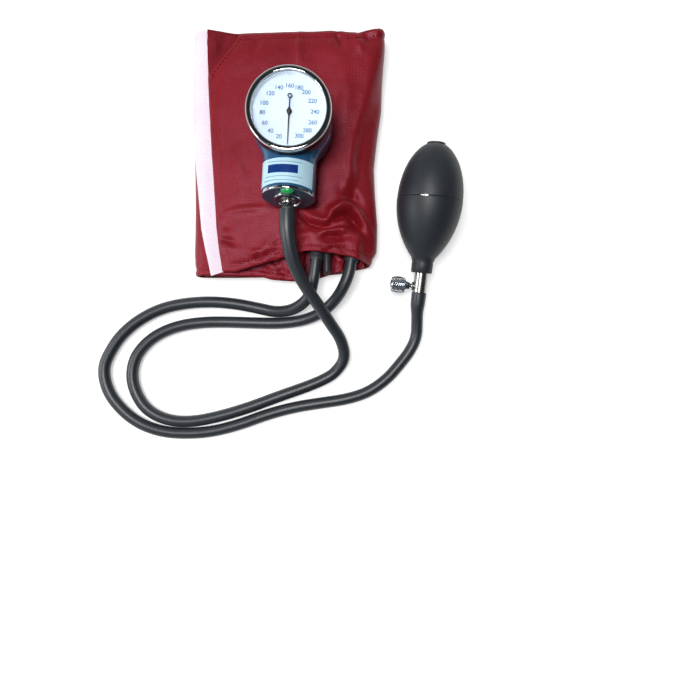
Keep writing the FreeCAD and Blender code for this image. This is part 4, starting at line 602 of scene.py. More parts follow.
# %% The panels' grids
FLAP_HEM = ([-64.8, -28.5, -17.0, 1.0, 36.0], [-67.7, -58.4, -55.4, -56.6, -62.5])
LOWER_HEM = ([-82, -42, -37, -23.5, -11, 0, 10, 19, 26, 34],
             [-69.3, -69.3, -70.9, -71.9, -71.5, -67.8, -66.9, -65.2, -64.0, -63.0])
FREE_EDGE = ([-70, -41, 4, 80], [-64.9, -68.6, -71.3, -74.1])
CUFF_TOP = 80.2
CORNER_X, CORNER_Y = 19.0, 26.0           # the flap's cut corner, along its hem and its edge
CORNER_START = CUFF_TOP - CORNER_Y
CHAMFER = ([FLAP_LEFT, FLAP_LEFT + CORNER_X], [CORNER_START, CUFF_TOP])
SLANT_TO = 23.7                           # right of this X the flap isn't shifted
PORT_CUTS = ((14.8, 5.0), (-7.3, 5.0), (-0.9, 2.7))      # X and half width of the ports' openings
PORT_DEPTH = -47.5                        # the openings run from the hem to this Y
flap_end = float(along[np.argmax(section[:, 0])])


def flap_place(x, y):
    """Shift a flap place so that its free end follows the slanting edge."""
    edge = np.interp(y, *FREE_EDGE)
    share = np.clip((x - FLAP_LEFT) / (SLANT_TO - FLAP_LEFT), 0, 1)
    return np.where(x < SLANT_TO, edge + share * (SLANT_TO - edge), x)


def panel_grid(side, rows=100):
    """Settled places, and flat ones for the weave, of the outer (1) or inner (-1) panel."""
    x = section[:, 0][:, None] * np.ones((1, rows))
    z = section[:, 1][:, None] * np.ones((1, rows))
    s = along[:, None] * np.ones((1, rows))
    t = np.linspace(0, 1, rows)[None, :] ** 1.3 * np.ones((len(section), 1))
    top = np.where(s < flap_end + 30, smooth(LAYER[0], LAYER[4], z), 0.0)
    top = np.where(s < flap_end - 6, 1.0, np.where(s < flap_end + 30, top, 0.0))
    low = top * np.interp(x, *FLAP_HEM) + (1 - top) * np.interp(x, *LOWER_HEM)
    low = low - 0.45 * (1 - top) * np.sin(s / 37.0)
    cut = np.interp(x, *CHAMFER) if side > 0 else 80.6 + 0.06 * (-55 - np.minimum(x, -55))
    high = np.where(top == 1, cut, CUFF_TOP) - 0.4 * (1 - top) * (1 + np.sin(s / 53.0))
    y = low + t * (high - low)
    # A hem is thin at its edge, thicker where it is turned in, thin again along its seam and
    # full further in.
    edge = np.minimum(np.minimum(s, along[-1] - s), np.minimum(y - low, high - y))
    puff = np.interp(edge, [0, 0.9, 2.2, 3.8, 6.5, 13], [0.25, 0.62, 0.66, 0.3, 0.78, 1.0])
    corner = (y - CORNER_START) / CORNER_Y - (x - FLAP_LEFT) / CORNER_X
    if side < 0:
        corner = -np.ones_like(x)
    drop = np.interp(corner * 15.3, [-9, -4.5, -2, 0], [1, 0.55, 0.1, -0.75])
    puff = np.where((top == 1) & (x < -55), np.minimum(puff, drop), puff)
    pucker = 0.1 * np.sin(s * 1.15 + 2 * np.sin(s / 9)) * np.exp(-((edge - 4.5) / 3.0) ** 2)
    rise = side * (HALF_GAP * puff + pucker)
    px = x + outward[:, 0][:, None] * rise
    pz = z + outward[:, 1][:, None] * rise
    px = np.where(top == 1, flap_place(px, y), px)
    return settle(px, y, pz, top), (s, y), x, z


def rim_faces(columns, rows, count):
    """Faces that close the sides between two grids of columns by rows, count vertices apart."""
    rim = [i * rows for i in range(columns)] + [(columns - 1) * rows + j for j in range(1, rows)]
    rim += [i * rows + rows - 1 for i in range(columns - 2, -1, -1)]
    rim += list(range(rows - 2, 0, -1))
    return [(a, b, b + count, a + count) for a, b in zip(rim, rim[1:] + rim[:1])]


def lay_flat(mesh, flat):
    """Store each vertex's place on the flat cloth as the mesh's texture coordinates."""
    layer = mesh.uv_layers.new(name="cloth")
    corner = np.zeros(len(mesh.loops), np.int32)
    mesh.loops.foreach_get("vertex_index", corner)
    layer.data.foreach_set("uv", (flat * MM)[corner].ravel())


def cloth(name, side, material, slot, node):
    """One panel as a mesh with real thickness, cut open where the ports come out."""
    (px, py, pz), (s, y), x, z = panel_grid(side)
    count, rows = px.shape
    places = np.stack([px, py, pz], axis=-1).reshape(-1, 3) * MM
    port = (np.abs(z - LAYER[3]) < 0.1) & (py < PORT_DEPTH)
    gone = port & np.any([np.abs(px - middle) < half for middle, half in PORT_CUTS], axis=0)
    faces = []
    for i in range(count - 1):
        for j in range(rows - 1):
            if not (gone[i, j] or gone[i + 1, j] or gone[i, j + 1] or gone[i + 1, j + 1]):
                a = i * rows + j
                quad = (a, a + rows, a + rows + 1, a + 1)
                faces.append(quad if side > 0 else quad[::-1])
    mesh = bpy.data.meshes.new(name)
    mesh.from_pydata(places.tolist(), [], faces)
    lay_flat(mesh, np.stack([s, y], axis=-1).reshape(-1, 2))
    mesh.shade_smooth()
    made = place_piece(name, mesh, material, slot, node)
    skin = made.modifiers.new("cloth_thickness", "SOLIDIFY")
    skin.thickness = 0.45 * MM
    skin.offset = 0.0
    data = bmesh.new()
    data.from_mesh(mesh)
    bmesh.ops.delete(data, geom=[v for v in data.verts if not v.link_faces], context="VERTS")
    data.to_mesh(mesh)
    data.free()
    print(name, "faces", len(mesh.polygons))
    return made


# %% [markdown]
# ## Nylon
# The cuff is woven from fine nylon yarn and coated on its back, which gives a satin,
# slightly crisp cloth. Its colour is a deep maroon. Real threads are a fifth of a
# millimetre thick, too fine to see here, so the weave is drawn with a pitch of 0.9 mm, and
# the cloth also gets slow light and dark drifts and small creases in its bump. The weave
# follows the cloth's own flat coordinates, so it turns with every fold.

# %% Cloth finishes
def woven(name, dark, light, roughness, pitch, crease, shine=0.14, tread=0.1):
    """Plain weave: two crossed bands, a slow drift of colour and small creases."""
    material, tree, shader = finish_of(name, Sheen_Weight=0.03, Sheen_Roughness=0.4,
                                       Specular_IOR_Level=shine)
    shader.inputs["Sheen Tint"].default_value = linear("#e7b9c4")
    shader.inputs["Specular Tint"].default_value = linear("#ffb4d3")
    flat = add(tree, "ShaderNodeTexCoord").outputs["UV"]
    warp = add(tree, "ShaderNodeTexWave", {"Vector": flat, "Scale": bands(pitch),
                                           "Distortion": 0.6, "Detail": 1.0}, bands_direction="X")
    weft = add(tree, "ShaderNodeTexWave", {"Vector": flat, "Scale": bands(pitch),
                                           "Distortion": 0.6, "Detail": 1.0}, bands_direction="Y")
    weave = add(tree, "ShaderNodeMath", {0: warp.outputs["Fac"], 1: weft.outputs["Fac"]},
                operation="MULTIPLY")
    drift = add(tree, "ShaderNodeTexNoise", {"Vector": flat, "Scale": 26.0, "Detail": 6.0,
                                             "Roughness": 0.62})
    slub = add(tree, "ShaderNodeTexNoise", {"Vector": flat, "Scale": 900.0, "Detail": 2.0})
    amount = add(tree, "ShaderNodeMath", {0: drift.outputs["Fac"], 1: slub.outputs["Fac"]},
                 operation="MULTIPLY")
    amount = add(tree, "ShaderNodeMapRange", {"Value": amount.outputs[0], "From Min": 0.1,
                                              "From Max": 0.42})
    tone = two_tones(tree, shader, amount.outputs["Result"], dark, light)
    thread = add(tree, "ShaderNodeMapRange", {"Value": weave.outputs[0], "To Min": 1 - tread,
                                              "To Max": 1.0})
    tone = add(tree, "ShaderNodeMix", {0: 1.0, 6: tone.outputs[2], 7: thread.outputs["Result"]},
               data_type="RGBA", blend_type="MULTIPLY")
    tree.links.new(tone.outputs[2], shader.inputs["Base Color"])
    uneven_gloss(tree, shader, drift.outputs["Fac"], roughness - 0.1, roughness + 0.12)
    drawn = add(tree, "ShaderNodeMapping", {"Vector": flat, "Scale": (1.0, 0.45, 1.0)})
    creases = add(tree, "ShaderNodeTexNoise", {"Vector": drawn.outputs["Vector"], "Scale": 110.0,
                                               "Detail": 3.0, "Roughness": 0.5})
    soft = add(tree, "ShaderNodeBump", {"Height": creases.outputs["Fac"], "Strength": crease,
                                        "Distance": 0.0012})
    fine = add(tree, "ShaderNodeBump", {"Height": weave.outputs[0], "Normal": soft.outputs["Normal"],
                                        "Strength": 3 * tread, "Distance": 0.0002})
    tree.links.new(fine.outputs["Normal"], shader.inputs["Normal"])
    return material


nylon = woven("coated_nylon_maroon_satin", "#7d1017", "#9a1d26", 0.38, 0.0009, 0.45, 0.5, 0.14)
nylon_inside = woven("nylon_maroon_inside_matt", "#741820", "#882530", 0.5, 0.0009, 0.3)
loop_pile = woven("brushed_loop_tape_pale", "#f2deef", "#fff6ff", 0.85, 0.0014, 0.2, 0.05, 0.02)
hook_face = woven("moulded_hook_tape_pale", "#e2d3e0", "#efe4f0", 0.7, 0.0014, 0.3)
# The thread is darker than the cloth: partly the thread's own maroon, partly painted shade of its needle
# holes.
thread_with_painted_shade = woven("maroon_thread_painted_hole_shade", "#561019", "#6e1a25", 0.5, 0.0006, 0.1)

outer_cloth = cloth("cuff_outer_cloth", 1, nylon, "nylon", "cuff_outer_panel")
inner_cloth = cloth("cuff_inner_cloth", -1, nylon_inside, "nylon_inside", "cuff_inner_panel")

# %% [markdown]
# ## Hook and loop tapes
# A strip of loop tape is sewn along the roll's fourth layer, and a strip of hook tape under
# the free end of the flap. The flap lies a little inside the loop tape's edge, so a pale
# strip shows beside it. Each tape is a thin closed strip on the same settled cloth.

# %% Tapes
def outer_height(x):
    """Top of the fourth layer's cloth, which bends down at the fold on the left."""
    bend = np.sqrt(np.maximum(8.3 ** 2 - np.minimum(x + 74.4, 0) ** 2, 4.0))
    return LAYER[3] - 6.6 + bend


def tape(name, left, width, ends, base, thick, material, slot, node, columns=14, rows=90):
    """A closed strip on the fourth layer, from its left edge, width and the y of its ends."""
    u = np.linspace(0, 1, columns)[:, None]
    y = np.linspace(0, 1, rows)[None, :] * np.ones((columns, 1))
    y = ends[0] + ends[1] * u + y * (ends[2] - ends[0] - ends[1] * u)
    start = np.interp(y, *left)
    x = start + u * width
    round_edge = np.minimum(1.0, np.minimum(x - start, start + width - x) / 0.5 + 0.35)
    verts, count = [], columns * rows
    for level in (base, base + thick):
        lift = outer_height(x) + (level - base if level > base else 0) * round_edge + base
        sx, sy, sz = settle(x, y, lift, np.zeros_like(x))
        verts += (np.stack([sx, sy, sz], axis=-1).reshape(-1, 3) * MM).tolist()
    faces = []
    for i in range(columns - 1):
        for j in range(rows - 1):
            a = i * rows + j
            b = (a, a + rows, a + rows + 1, a + 1)
            faces += [tuple(v + count for v in b), b[::-1]]
    faces += rim_faces(columns, rows, count)
    mesh = bpy.data.meshes.new(name)
    mesh.from_pydata(verts, [], faces)
    lay_flat(mesh, np.tile(np.stack([x, y], axis=-1).reshape(-1, 2), (2, 1)))
    mesh.shade_smooth()
    mesh.set_sharp_from_angle(angle=math.radians(50))
    return place_piece(name, mesh, material, slot, node)


LOOP_EDGE = ([-70, -41, 4, 40, 82], [-72.6, -77.7, -81.6, -82.1, -82.2])
loop_strip = tape("loop_tape_strip", LOOP_EDGE, 15.0, (-70.0, 4.5, 82.4), 0.0, 0.85, loop_pile,
                  "loop_tape", "loop_tape")
HOOK_EDGE = (FREE_EDGE[0], [v + 0.6 for v in FREE_EDGE[1]])
hook_strip = tape("hook_tape_strip", HOOK_EDGE, 20.0, (-66.0, 8.0, 79.0), 0.95, 0.3, hook_face,
                  "hook_tape", "hook_tape")
print("tapes", loop_strip.name, hook_strip.name)

# %% [markdown]
# ## Stitches
# Lockstitch in maroon thread holds the hems. Each stitch is a small rounded bar 1.6 mm long,
# and the next one starts 2.4 mm further on, where the needle went down. A Geometry Nodes tree sets one at
# every step along a line: the line is drawn on the settled cloth, and the tree turns it to
# evenly spaced points. Pitch, length and width are named inputs, so any seam can be sewn.

# %% A tree that sews
def inputs_of(tree, **kinds):
    """Named inputs of a Geometry Nodes tree, and its one output."""
    tree.interface.new_socket("Line", in_out="INPUT", socket_type="NodeSocketGeometry")
    for name, kind in kinds.items():
        tree.interface.new_socket(name, in_out="INPUT", socket_type="NodeSocket" + kind)
    tree.interface.new_socket("Result", in_out="OUTPUT", socket_type="NodeSocketGeometry")
    return add(tree, "NodeGroupInput")


def end_tree(tree, instances, material):
    """Realize Instances, Set Material, and out."""
    real = add(tree, "GeometryNodeRealizeInstances", {"Geometry": instances})
    painted = add(tree, "GeometryNodeSetMaterial", {"Geometry": real.outputs[0], "Material": material})
    add(tree, "NodeGroupOutput", {"Result": painted.outputs[0]})


def grown(name, host, tree, **values):
    """Run a tree on a host mesh and return its result as a plain mesh."""
    made = bpy.data.objects.new(name + "_host", host)
    bpy.context.scene.collection.objects.link(made)
    modifier = made.modifiers.new(name, "NODES")
    modifier.node_group = tree
    sockets = {s.name: s.identifier for s in tree.interface.items_tree
               if s.item_type == "SOCKET" and s.in_out == "INPUT"}
    for key, value in values.items():
        modifier[sockets[key]] = value
    made.update_tag()
    graph = bpy.context.evaluated_depsgraph_get()
    mesh = bpy.data.meshes.new_from_object(made.evaluated_get(graph))
    mesh.name = name
    bpy.data.objects.remove(made)
    return mesh


sewing = bpy.data.node_groups.new("sew_along_line", "GeometryNodeTree")
given = inputs_of(sewing, Pitch="Float", Length="Float", Width="Float", Thread="Material")
line = add(sewing, "GeometryNodeMeshToCurve", {"Mesh": given.outputs["Line"]})
steps = add(sewing, "GeometryNodeCurveToPoints", {"Curve": line.outputs["Curve"],
                                                  "Length": given.outputs["Pitch"]}, mode="LENGTH")
bead = add(sewing, "GeometryNodeMeshUVSphere", {"Segments": 6, "Rings": 4, "Radius": 0.5})
size = add(sewing, "ShaderNodeCombineXYZ", {"X": given.outputs["Width"], "Y": given.outputs["Width"],
                                            "Z": given.outputs["Length"]})
sewn = add(sewing, "GeometryNodeInstanceOnPoints", {"Points": steps.outputs["Points"],
                                                    "Instance": bead.outputs["Mesh"],
                                                    "Rotation": steps.outputs["Rotation"],
                                                    "Scale": size.outputs[0]})
end_tree(sewing, sewn.outputs["Instances"], given.outputs["Thread"])
print("sewing tree nodes", len(sewing.nodes))

# %% Seams
def seam_line(points, layer, top, count=120):
    """Points on the settled cloth's stitched hem, from corners on the flat cloth."""
    corners = np.array(points, float)
    run = np.concatenate([[0], np.cumsum(np.hypot(*np.diff(corners, axis=0).T))])
    at = np.linspace(0, run[-1], count)
    x, y = np.interp(at, run, corners[:, 0]), np.interp(at, run, corners[:, 1])
    z = np.full_like(x, layer + HALF_GAP * 0.3 + 0.3)
    if top:
        x = flap_place(x, y)
    return np.stack(settle(x, y, z, np.full_like(x, float(top))), axis=-1) * MM


def hem(line, first, last, inset, count=24):
    """Flat cloth corners that run beside a hem."""
    return [(x, float(np.interp(x, *line)) + inset) for x in np.linspace(first, last, count)]


top_seam = 76.4
SEAMS = [seam_line([(-71.6, -62.5), (-71.6, 53.0)], LAYER[4], 1),
         seam_line([(-71.6, 53.0), (-53.6, top_seam)], LAYER[4], 1),
         seam_line([(-53.6, top_seam), (23.0, top_seam), (28.0, top_seam)], LAYER[4], 1),
         seam_line(hem(FLAP_HEM, -61.0, 31.0, 3.8), LAYER[4], 1),
         seam_line(hem(LOWER_HEM, -75.0, -14.0, 3.6), LAYER[3], 0),
         seam_line(hem(LOWER_HEM, 21.0, 25.5, 3.6), LAYER[3], 0, 20),
         seam_line([(-78.0, 76.0), (-56.0, 76.0)], LAYER[3], 0, 40)]
verts, edges = [], []
for seam in SEAMS:
    start = len(verts)
    verts += seam.tolist()
    edges += [(start + i, start + i + 1) for i in range(len(seam) - 1)]
host = bpy.data.meshes.new("seam_lines")
host.from_pydata(verts, edges, [])
mesh = grown("cuff_stitches", host, sewing, Pitch=2.4 * MM, Length=1.6 * MM, Width=0.55 * MM,
             Thread=thread_with_painted_shade)
mesh.shade_smooth()
stitches = place_piece("cuff_stitches", mesh, thread_with_painted_shade, "nylon")
print("stitches", len(mesh.polygons), "faces")

# %% [markdown]
# ## Bladder
# The rubber bladder is a flat bag folded with the cuff. Its two ports end in soft rubber
# sleeves that hold the hoses, and a third port is closed. Only these show, so the bag is a
# thin puffed pad on the roll's line and the sleeves are turned.

# %% Bladder and its ports
def joined(name, *meshes):
    """Several meshes as one."""
    data = bmesh.new()
    for mesh in meshes:
        data.from_mesh(mesh)
    made = bpy.data.meshes.new(name)
    data.to_mesh(made)
    data.free()
    made.shade_smooth()
    made.set_sharp_from_angle(angle=math.radians(40))
    return made


def axis_matrix(origin, direction):
    """Places a turned piece: its Z along a direction, from an origin in millimetres."""
    turn = Vector(direction).to_track_quat("Z", "Y").to_matrix().to_4x4()
    return Matrix.Translation(Vector(origin) * MM) @ turn


def pad(name, first, last, low, high, half, rows=40):
    """A closed thin pad on the roll's line between two lengths along it."""
    pick = np.arange(len(along))[(along > first) & (along < last)]
    x, z, s = (a[pick][:, None] * np.ones((1, rows)) for a in (section[:, 0], section[:, 1], along))
    y = np.linspace(low, high, rows)[None, :] * np.ones((len(pick), 1))
    edge = np.minimum(np.minimum(s - first, last - s), np.minimum(y - low, high - y))
    rise = half * np.interp(edge, [0, 3, 9], [0.3, 0.7, 1.0])
    verts, faces, count = [], [], x.size
    for side in (-1, 1):
        px = x + side * rise * outward[pick, 0][:, None]
        pz = z + side * rise * outward[pick, 1][:, None]
        settled = np.stack(settle(px, y, pz, np.zeros_like(x)), axis=-1)
        verts += (settled.reshape(-1, 3) * MM).tolist()
    for i in range(len(pick) - 1):
        for j in range(rows - 1):
            a = i * rows + j
            b = (a, a + 1, a + rows + 1, a + rows)
            faces += [b, tuple(v + count for v in b[::-1])]
    faces += rim_faces(len(pick), rows, count)
    mesh = bpy.data.meshes.new(name)
    mesh.from_pydata(verts, [], faces)
    return mesh


layer_four = [s for s, (x, z) in zip(along, section) if abs(z - LAYER[3]) < 0.01 and -72 < x < 26]
bag = pad("bladder_bag", min(layer_four), max(layer_four) + 45, -46.0, 66.0, 0.5)
sleeve = [(3.75, 0.0), (3.9, -0.3), (4.3, -0.35), (4.4, 0.2), (4.4, 1.4), (4.15, 2.0), (4.1, 12.0),
          (3.4, 15.0), (0.0, 15.6)]
sleeves = []
for route in (GAUGE_HOSE_ROUTE, BULB_HOSE_ROUTE):
    end, before = Vector(route[-1]), Vector(route[-2])
    run = (end - before).normalized()
    sleeves.append(turned("sleeve", sleeve, 48, axis_matrix(end - run * 6.0, run), closed=False))
stub = [(0.0, 0.0), (1.0, 0.15), (1.75, 0.7), (2.15, 1.5), (2.2, 2.4), (2.2, 14.0), (2.45, 14.3),
        (2.45, 15.6), (2.2, 16.0), (2.2, 22.0), (0.0, 22.4)]
stub_end = axis_matrix((PORTS[2], -69.0, 14.6), (0, 1, 0))
closed_port = turned("stub", stub, 32, stub_end, closed=False)
mesh = joined("bladder_rubber_parts", bag, closed_port, *sleeves)
place_piece("bladder_and_ports", mesh, bladder_rubber, "bladder_rubber", "bladder")
print("bladder", len(mesh.polygons), "faces")

# %% [markdown]
# ## Case, fittings and movement
# The rigid pieces outside get a finished copy each. The movement's pieces are small and sit
# behind the dial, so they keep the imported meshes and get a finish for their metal.

# %% Painted and moulded finishes
def plain(name, dark, light, roughness, scale, depth=0.1, **values):
    """A painted or moulded surface: two close tones and a fine uneven gloss."""
    material, tree, shader = finish_of(name, **values)
    place = add(tree, "ShaderNodeTexCoord").outputs["Object"]
    grain = add(tree, "ShaderNodeTexNoise", {"Vector": place, "Scale": scale, "Detail": 5.0})
    two_tones(tree, shader, grain.outputs["Fac"], dark, light)
    uneven_gloss(tree, shader, grain.outputs["Fac"], roughness - 0.06, roughness + 0.08)
    raised(tree, shader, grain.outputs["Fac"], depth, 0.0002)
    return material


dial_white = plain("printed_dial_pale_blue_white", "#b3bfcf", "#bcc7d6", 0.5, 500.0, 0.04,
                   Specular_IOR_Level=0.1)
black_lacquer = plain("black_lacquer", "#0d0e10", "#17181b", 0.3, 900.0)
seal_green = plain("moulded_green_seal", "#129048", "#22ad5c", 0.24, 700.0)
ring_white = plain("moulded_white_ring", "#dfe4e6", "#e9eef0", 0.4, 600.0)
label_film = plain("label_film_pale", "#b8dff2", "#c8ebfb", 0.38, 350.0, 0.05, Specular_IOR_Level=0.2)
dial_ink = plain("dial_ink_grey_blue", "#31557c", "#3f668f", 0.55, 900.0, 0.02, Specular_IOR_Level=0.05)
tick_ink = plain("dial_ink_pale", "#a9bfda", "#b9cce4", 0.55, 900.0, 0.02, Specular_IOR_Level=0.05)
navy_ink = plain("label_ink_navy", "#0a2f74", "#0f3c86", 0.4, 700.0, 0.03, Specular_IOR_Level=0.1)
grey_ink = plain("label_ink_grey", "#6f93a6", "#86a8b8", 0.45, 700.0, 0.03, Specular_IOR_Level=0.1)
# A flat dark blue grey for the chrome end faces of the cap and the nut: a painted dark reflection.
end_face_painted_reflection = plain("end_faces_painted_reflection_blue_grey", "#1f3a49", "#2f5164", 0.3, 420.0, 0.12)
# A darkened chrome for the bezel's lower wall: a painted dark reflection where bright chrome would mirror
# the red cloth.
chrome_painted_dark_reflection = metal("chrome_with_painted_dark_reflection", "#1c1e21", 0.3, 900.0, 0.1)
satin_nickel = metal("satin_nickel", "#a8a8a5", 0.25, 500.0)
knurled_nickel = metal("knurled_nickel", "#dce1e6", 0.16, 1800.0)
print("painted and moulded finishes made")

# %% Case, cap and valve
for node, material, slot in (
        ("gauge_case", enamel, "blue_paint"),
        ("valve_hose_tail", chrome, "chrome"), ("inlet_valve_body", bulb_rubber, "bulb_rubber"),
        ("crystal", glass, "crystal"), ("back_clip", steel, "steel"), ("clip_screws", steel, "steel"),
        ("dial", dial_white, "dial_white"), ("dial_spacer", ring_white, "spacer_white")):
    smooth_copy(node, material, slot)

slant = math.radians(10)                  # the neck's end face leans back by this
end_way = GAUGE.to_3x3() @ Vector((0, -math.cos(slant), math.sin(slant)))
NECK_END = (-22.22, -27.03, 37.0)         # the painted neck's end, on its axis
NECK = axis_matrix(NECK_END, end_way)
nut_outline = [(0.0, 1.4), (7.9, 1.4), (8.15, 1.6), (8.2, 2.5), (8.1, 2.85), (7.85, 3.1), (7.5, 3.2),
               (7.1, 3.15), (6.8, 3.0), (6.55, 2.7), (6.45, 2.3), (4.4, 2.2), (0.0, 2.2)]
nut = turned("nut_rounded", nut_outline, 96, NECK, closed=False)
nipple = turned("nipple_turned", [(0.0, 1.9), (4.3, 1.9), (4.3, 2.6), (4.0, 2.9), (3.5, 3.0), (3.5, 5.0),
                                  (3.35, 5.2), (3.5, 5.4), (3.5, 9.0), (2.6, 9.2), (2.6, 17.0),
                                  (1.5, 17.0), (1.5, 6.0), (0.0, 6.0)], 64, NECK, closed=False)
drop = turned("seal_moulded", [(0.0, 1.9), (0.9, 1.84), (1.9, 1.6), (2.8, 1.15), (3.5, 0.5), (3.9, -0.4),
                               (0.0, -0.4)], 48,
              NECK @ Matrix.Translation(Vector((0.6, 10.2, 1.8)) * MM)
              @ Matrix.Diagonal((1.0, 0.57, 1.0, 1.0)), closed=False)
# The cap and the nut are chrome at their sides. Their end faces get a flat blue grey instead of chrome: a
# painted dark reflection.
for made in (smooth_copy("neck_cap", chrome, "chrome"),
             place_piece("nut_rounded", nut, chrome, "chrome", "nipple_nut")):
    made.data.materials.append(end_face_painted_reflection)
    for face in made.data.polygons:
        if face.normal.dot(end_way) > 0.93:
            face.material_index = 1
place_piece("nipple_turned", nipple, satin_nickel, "chrome", "hose_nipple")
place_piece("seal_moulded", drop, seal_green, "seal_green", "seal_dot")
print("nut, nipple and seal made")


def paint(material, *nodes):
    """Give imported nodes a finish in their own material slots."""
    for node in nodes:
        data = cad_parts[node].data
        for i in range(len(data.materials)):
            data.materials[i] = material


paint(brass, "movement_front_plate", "movement_rear_plate", "plate_pillars", "movement_posts",
      "sector_gear", "capsule_base", "capsule_pin", "hairspring_stud", "hairspring_collet")
paint(steel, "pillar_screws", "pinion_arbor", "hairspring", "rocking_shaft", "air_pipe",
      "inlet_filter", "inlet_ball", "outlet_ball")
paint(bronze, "pressure_capsule")

# %% Bezel
# Its edge is rolled, so it mirrors a thin bright line of the room's side. Its flat face
# mirrors the dark ceiling.
bezel_outline = [(23.05, 24.6), (23.45, 24.62), (23.66, 24.9), (23.72, 26.5), (23.72, 30.3),
                 (23.66, 30.9), (23.52, 31.4), (23.3, 31.75), (23.0, 31.98), (22.6, 32.09),
                 (21.9, 32.1), (21.1, 32.06), (20.75, 31.95), (20.62, 31.7), (20.6, 30.95),
                 (22.35, 30.92), (22.4, 26.6), (22.4, 26.02), (23.05, 26.02)]
mesh = turned("bezel_rolled", bezel_outline, 160, GAUGE)
mesh.set_sharp_from_angle(angle=math.radians(50))
place_piece("bezel_rolled", mesh, chrome, "chrome", "bezel")
# The lower band of the wall takes the darkened chrome, a painted dark reflection.
mesh.materials.append(chrome_painted_dark_reflection)
unplace = GAUGE.inverted()
for face in mesh.polygons:
    centre = unplace @ face.center / MM
    if centre.z < 29.0 and centre.xy.length > 23.3:
        face.material_index = 1
print("bezel", len(mesh.polygons), "faces")

# %% Label on the neck
# The neck is an ellipse across, so the film follows it. Prints are thin films on top.
NECK_HALF_WIDTH, NECK_HALF_HEIGHT = 15.5, 13.0


def neck_film(name, x0, x1, y0, y1, lift, thick, bow=0.0, steps=48):
    """A film on the neck's top between two x and two y, closed, bowed towards its sides."""
    verts, faces = [], []
    for i in range(steps + 1):
        x = x0 + (x1 - x0) * i / steps
        for y in (y0, y1):
            bowed = y - bow * (x / NECK_HALF_WIDTH) ** 2 * (1 if y == min(y0, y1) else 0.35)
            for more in (lift, lift + thick):
                a = math.acos(max(-1, min(1, x / (NECK_HALF_WIDTH + lift))))
                level = NECK_HALF_HEIGHT + (NECK_HALF_HEIGHT + more) * math.sin(a)
                verts.append(((NECK_HALF_WIDTH + more) * math.cos(a), bowed, level))
    for i in range(steps):
        a, b = 4 * i, 4 * i + 4
        faces += [(a, b, b + 2, a + 2), (a + 1, a + 3, b + 3, b + 1), (a, a + 1, b + 1, b),
                  (a + 2, b + 2, b + 3, a + 3)]
    faces += [(0, 2, 3, 1), (4 * steps, 4 * steps + 1, 4 * steps + 3, 4 * steps + 2)]
    mesh = bpy.data.meshes.new(name)
    mesh.from_pydata([Vector(v) * MM for v in verts], [], faces)
    face_outwards(mesh)
    mesh.transform(GAUGE)
    mesh.shade_smooth()
    mesh.set_sharp_from_angle(angle=math.radians(35))
    return mesh


film = neck_film("label_film", -15.2, 13.9, -25.0, -38.8, 0.02, 0.12, bow=1.6)
place_piece("neck_label_film", film, label_film, "label_film", "neck_label")
bar = neck_film("label_bar", -11.0, 6.2, -28.6, -33.2, 0.15, 0.03)
place_piece("neck_label_bar", bar, navy_ink, "label_film")
lines = joined("label_lines", neck_film("line", -11.6, 8.2, -26.9, -27.25, 0.15, 0.02),
               neck_film("line", -12.6, 8.6, -35.0, -35.3, 0.15, 0.02, bow=0.5),
               neck_film("line", -13.0, 6.8, -37.1, -37.4, 0.15, 0.02, bow=0.8))
place_piece("neck_label_lines", lines, grey_ink, "label_film")
print("label", len(film.polygons), "faces")

# %% [markdown]
# ## Dial
# Numbers from 20 to 300 run round the dial, twenty millimetres of mercury apart. Between
# them the scale has fine pale marks. The marks and the knob's knurl are the same kind of
# repeat: a small shape set round an axis. One Geometry Nodes tree does both. It turns each
# shape away from the axis, and it has an input that swaps a bar for a pyramid.

# %% A tree that sets shapes round an axis
rounding = bpy.data.node_groups.new("set_round_axis", "GeometryNodeTree")
given = inputs_of(rounding, Size="Vector", Pointed="Bool", Finish="Material")
place = add(rounding, "ShaderNodeSeparateXYZ",
            {"Vector": add(rounding, "GeometryNodeInputPosition").outputs["Position"]})
turn = add(rounding, "ShaderNodeMath", {0: place.outputs["Y"], 1: place.outputs["X"]},
           operation="ARCTAN2")
angles = add(rounding, "ShaderNodeCombineXYZ", {"Y": math.pi / 2, "Z": turn.outputs[0]})
bar_shape = add(rounding, "GeometryNodeMeshCube", {"Size": (1.0, 1.0, 1.0)})
pyramid = add(rounding, "GeometryNodeMeshCone", {"Vertices": 4, "Radius Top": 0.0,
                                                 "Radius Bottom": 0.5, "Depth": 1.0})
shape = add(rounding, "GeometryNodeSwitch", {"Switch": given.outputs["Pointed"],
                                             "False": bar_shape.outputs["Mesh"],
                                             "True": pyramid.outputs["Mesh"]}, input_type="GEOMETRY")
spread = add(rounding, "GeometryNodeInstanceOnPoints",
             {"Points": given.outputs["Line"], "Instance": shape.outputs[0],
              "Rotation": angles.outputs[0], "Scale": given.outputs["Size"]})
end_tree(rounding, spread.outputs["Instances"], given.outputs["Finish"])
print("rounding tree nodes", len(rounding.nodes))

# %% Marks, numbers and pointer
DIAL_TOP = 26.6                           # the dial's face, above the case's back
SCALE = {20: 19, 40: 41, 60: 62.5, 80: 86, 100: 107, 120: 132, 140: 155, 160: 179, 180: 200,
         200: 219, 220: 242.5, 240: 267, 260: 291, 280: 312, 300: 333.5}


def dial_point(pressure, radius):
    """A place on the dial, in the gauge's frame: clockwise from six o'clock."""
    a = math.radians(np.interp(pressure, [0] + list(SCALE), [0] + list(SCALE.values())))
    return -radius * math.sin(a), -radius * math.cos(a)


marks = bpy.data.meshes.new("mark_places")
marks.from_pydata([(x * MM, y * MM, (DIAL_TOP + 0.03) * MM) for p in range(4, 301, 4)
                   for x, y in [dial_point(p, 18.6)]], [], [])
mesh = grown("scale_marks", marks, rounding, Size=(0.02 * MM, 0.14 * MM, 0.9 * MM), Pointed=False,
             Finish=tick_ink)
mesh.transform(GAUGE)
place_piece("dial_marks", mesh, tick_ink, "dial_white")


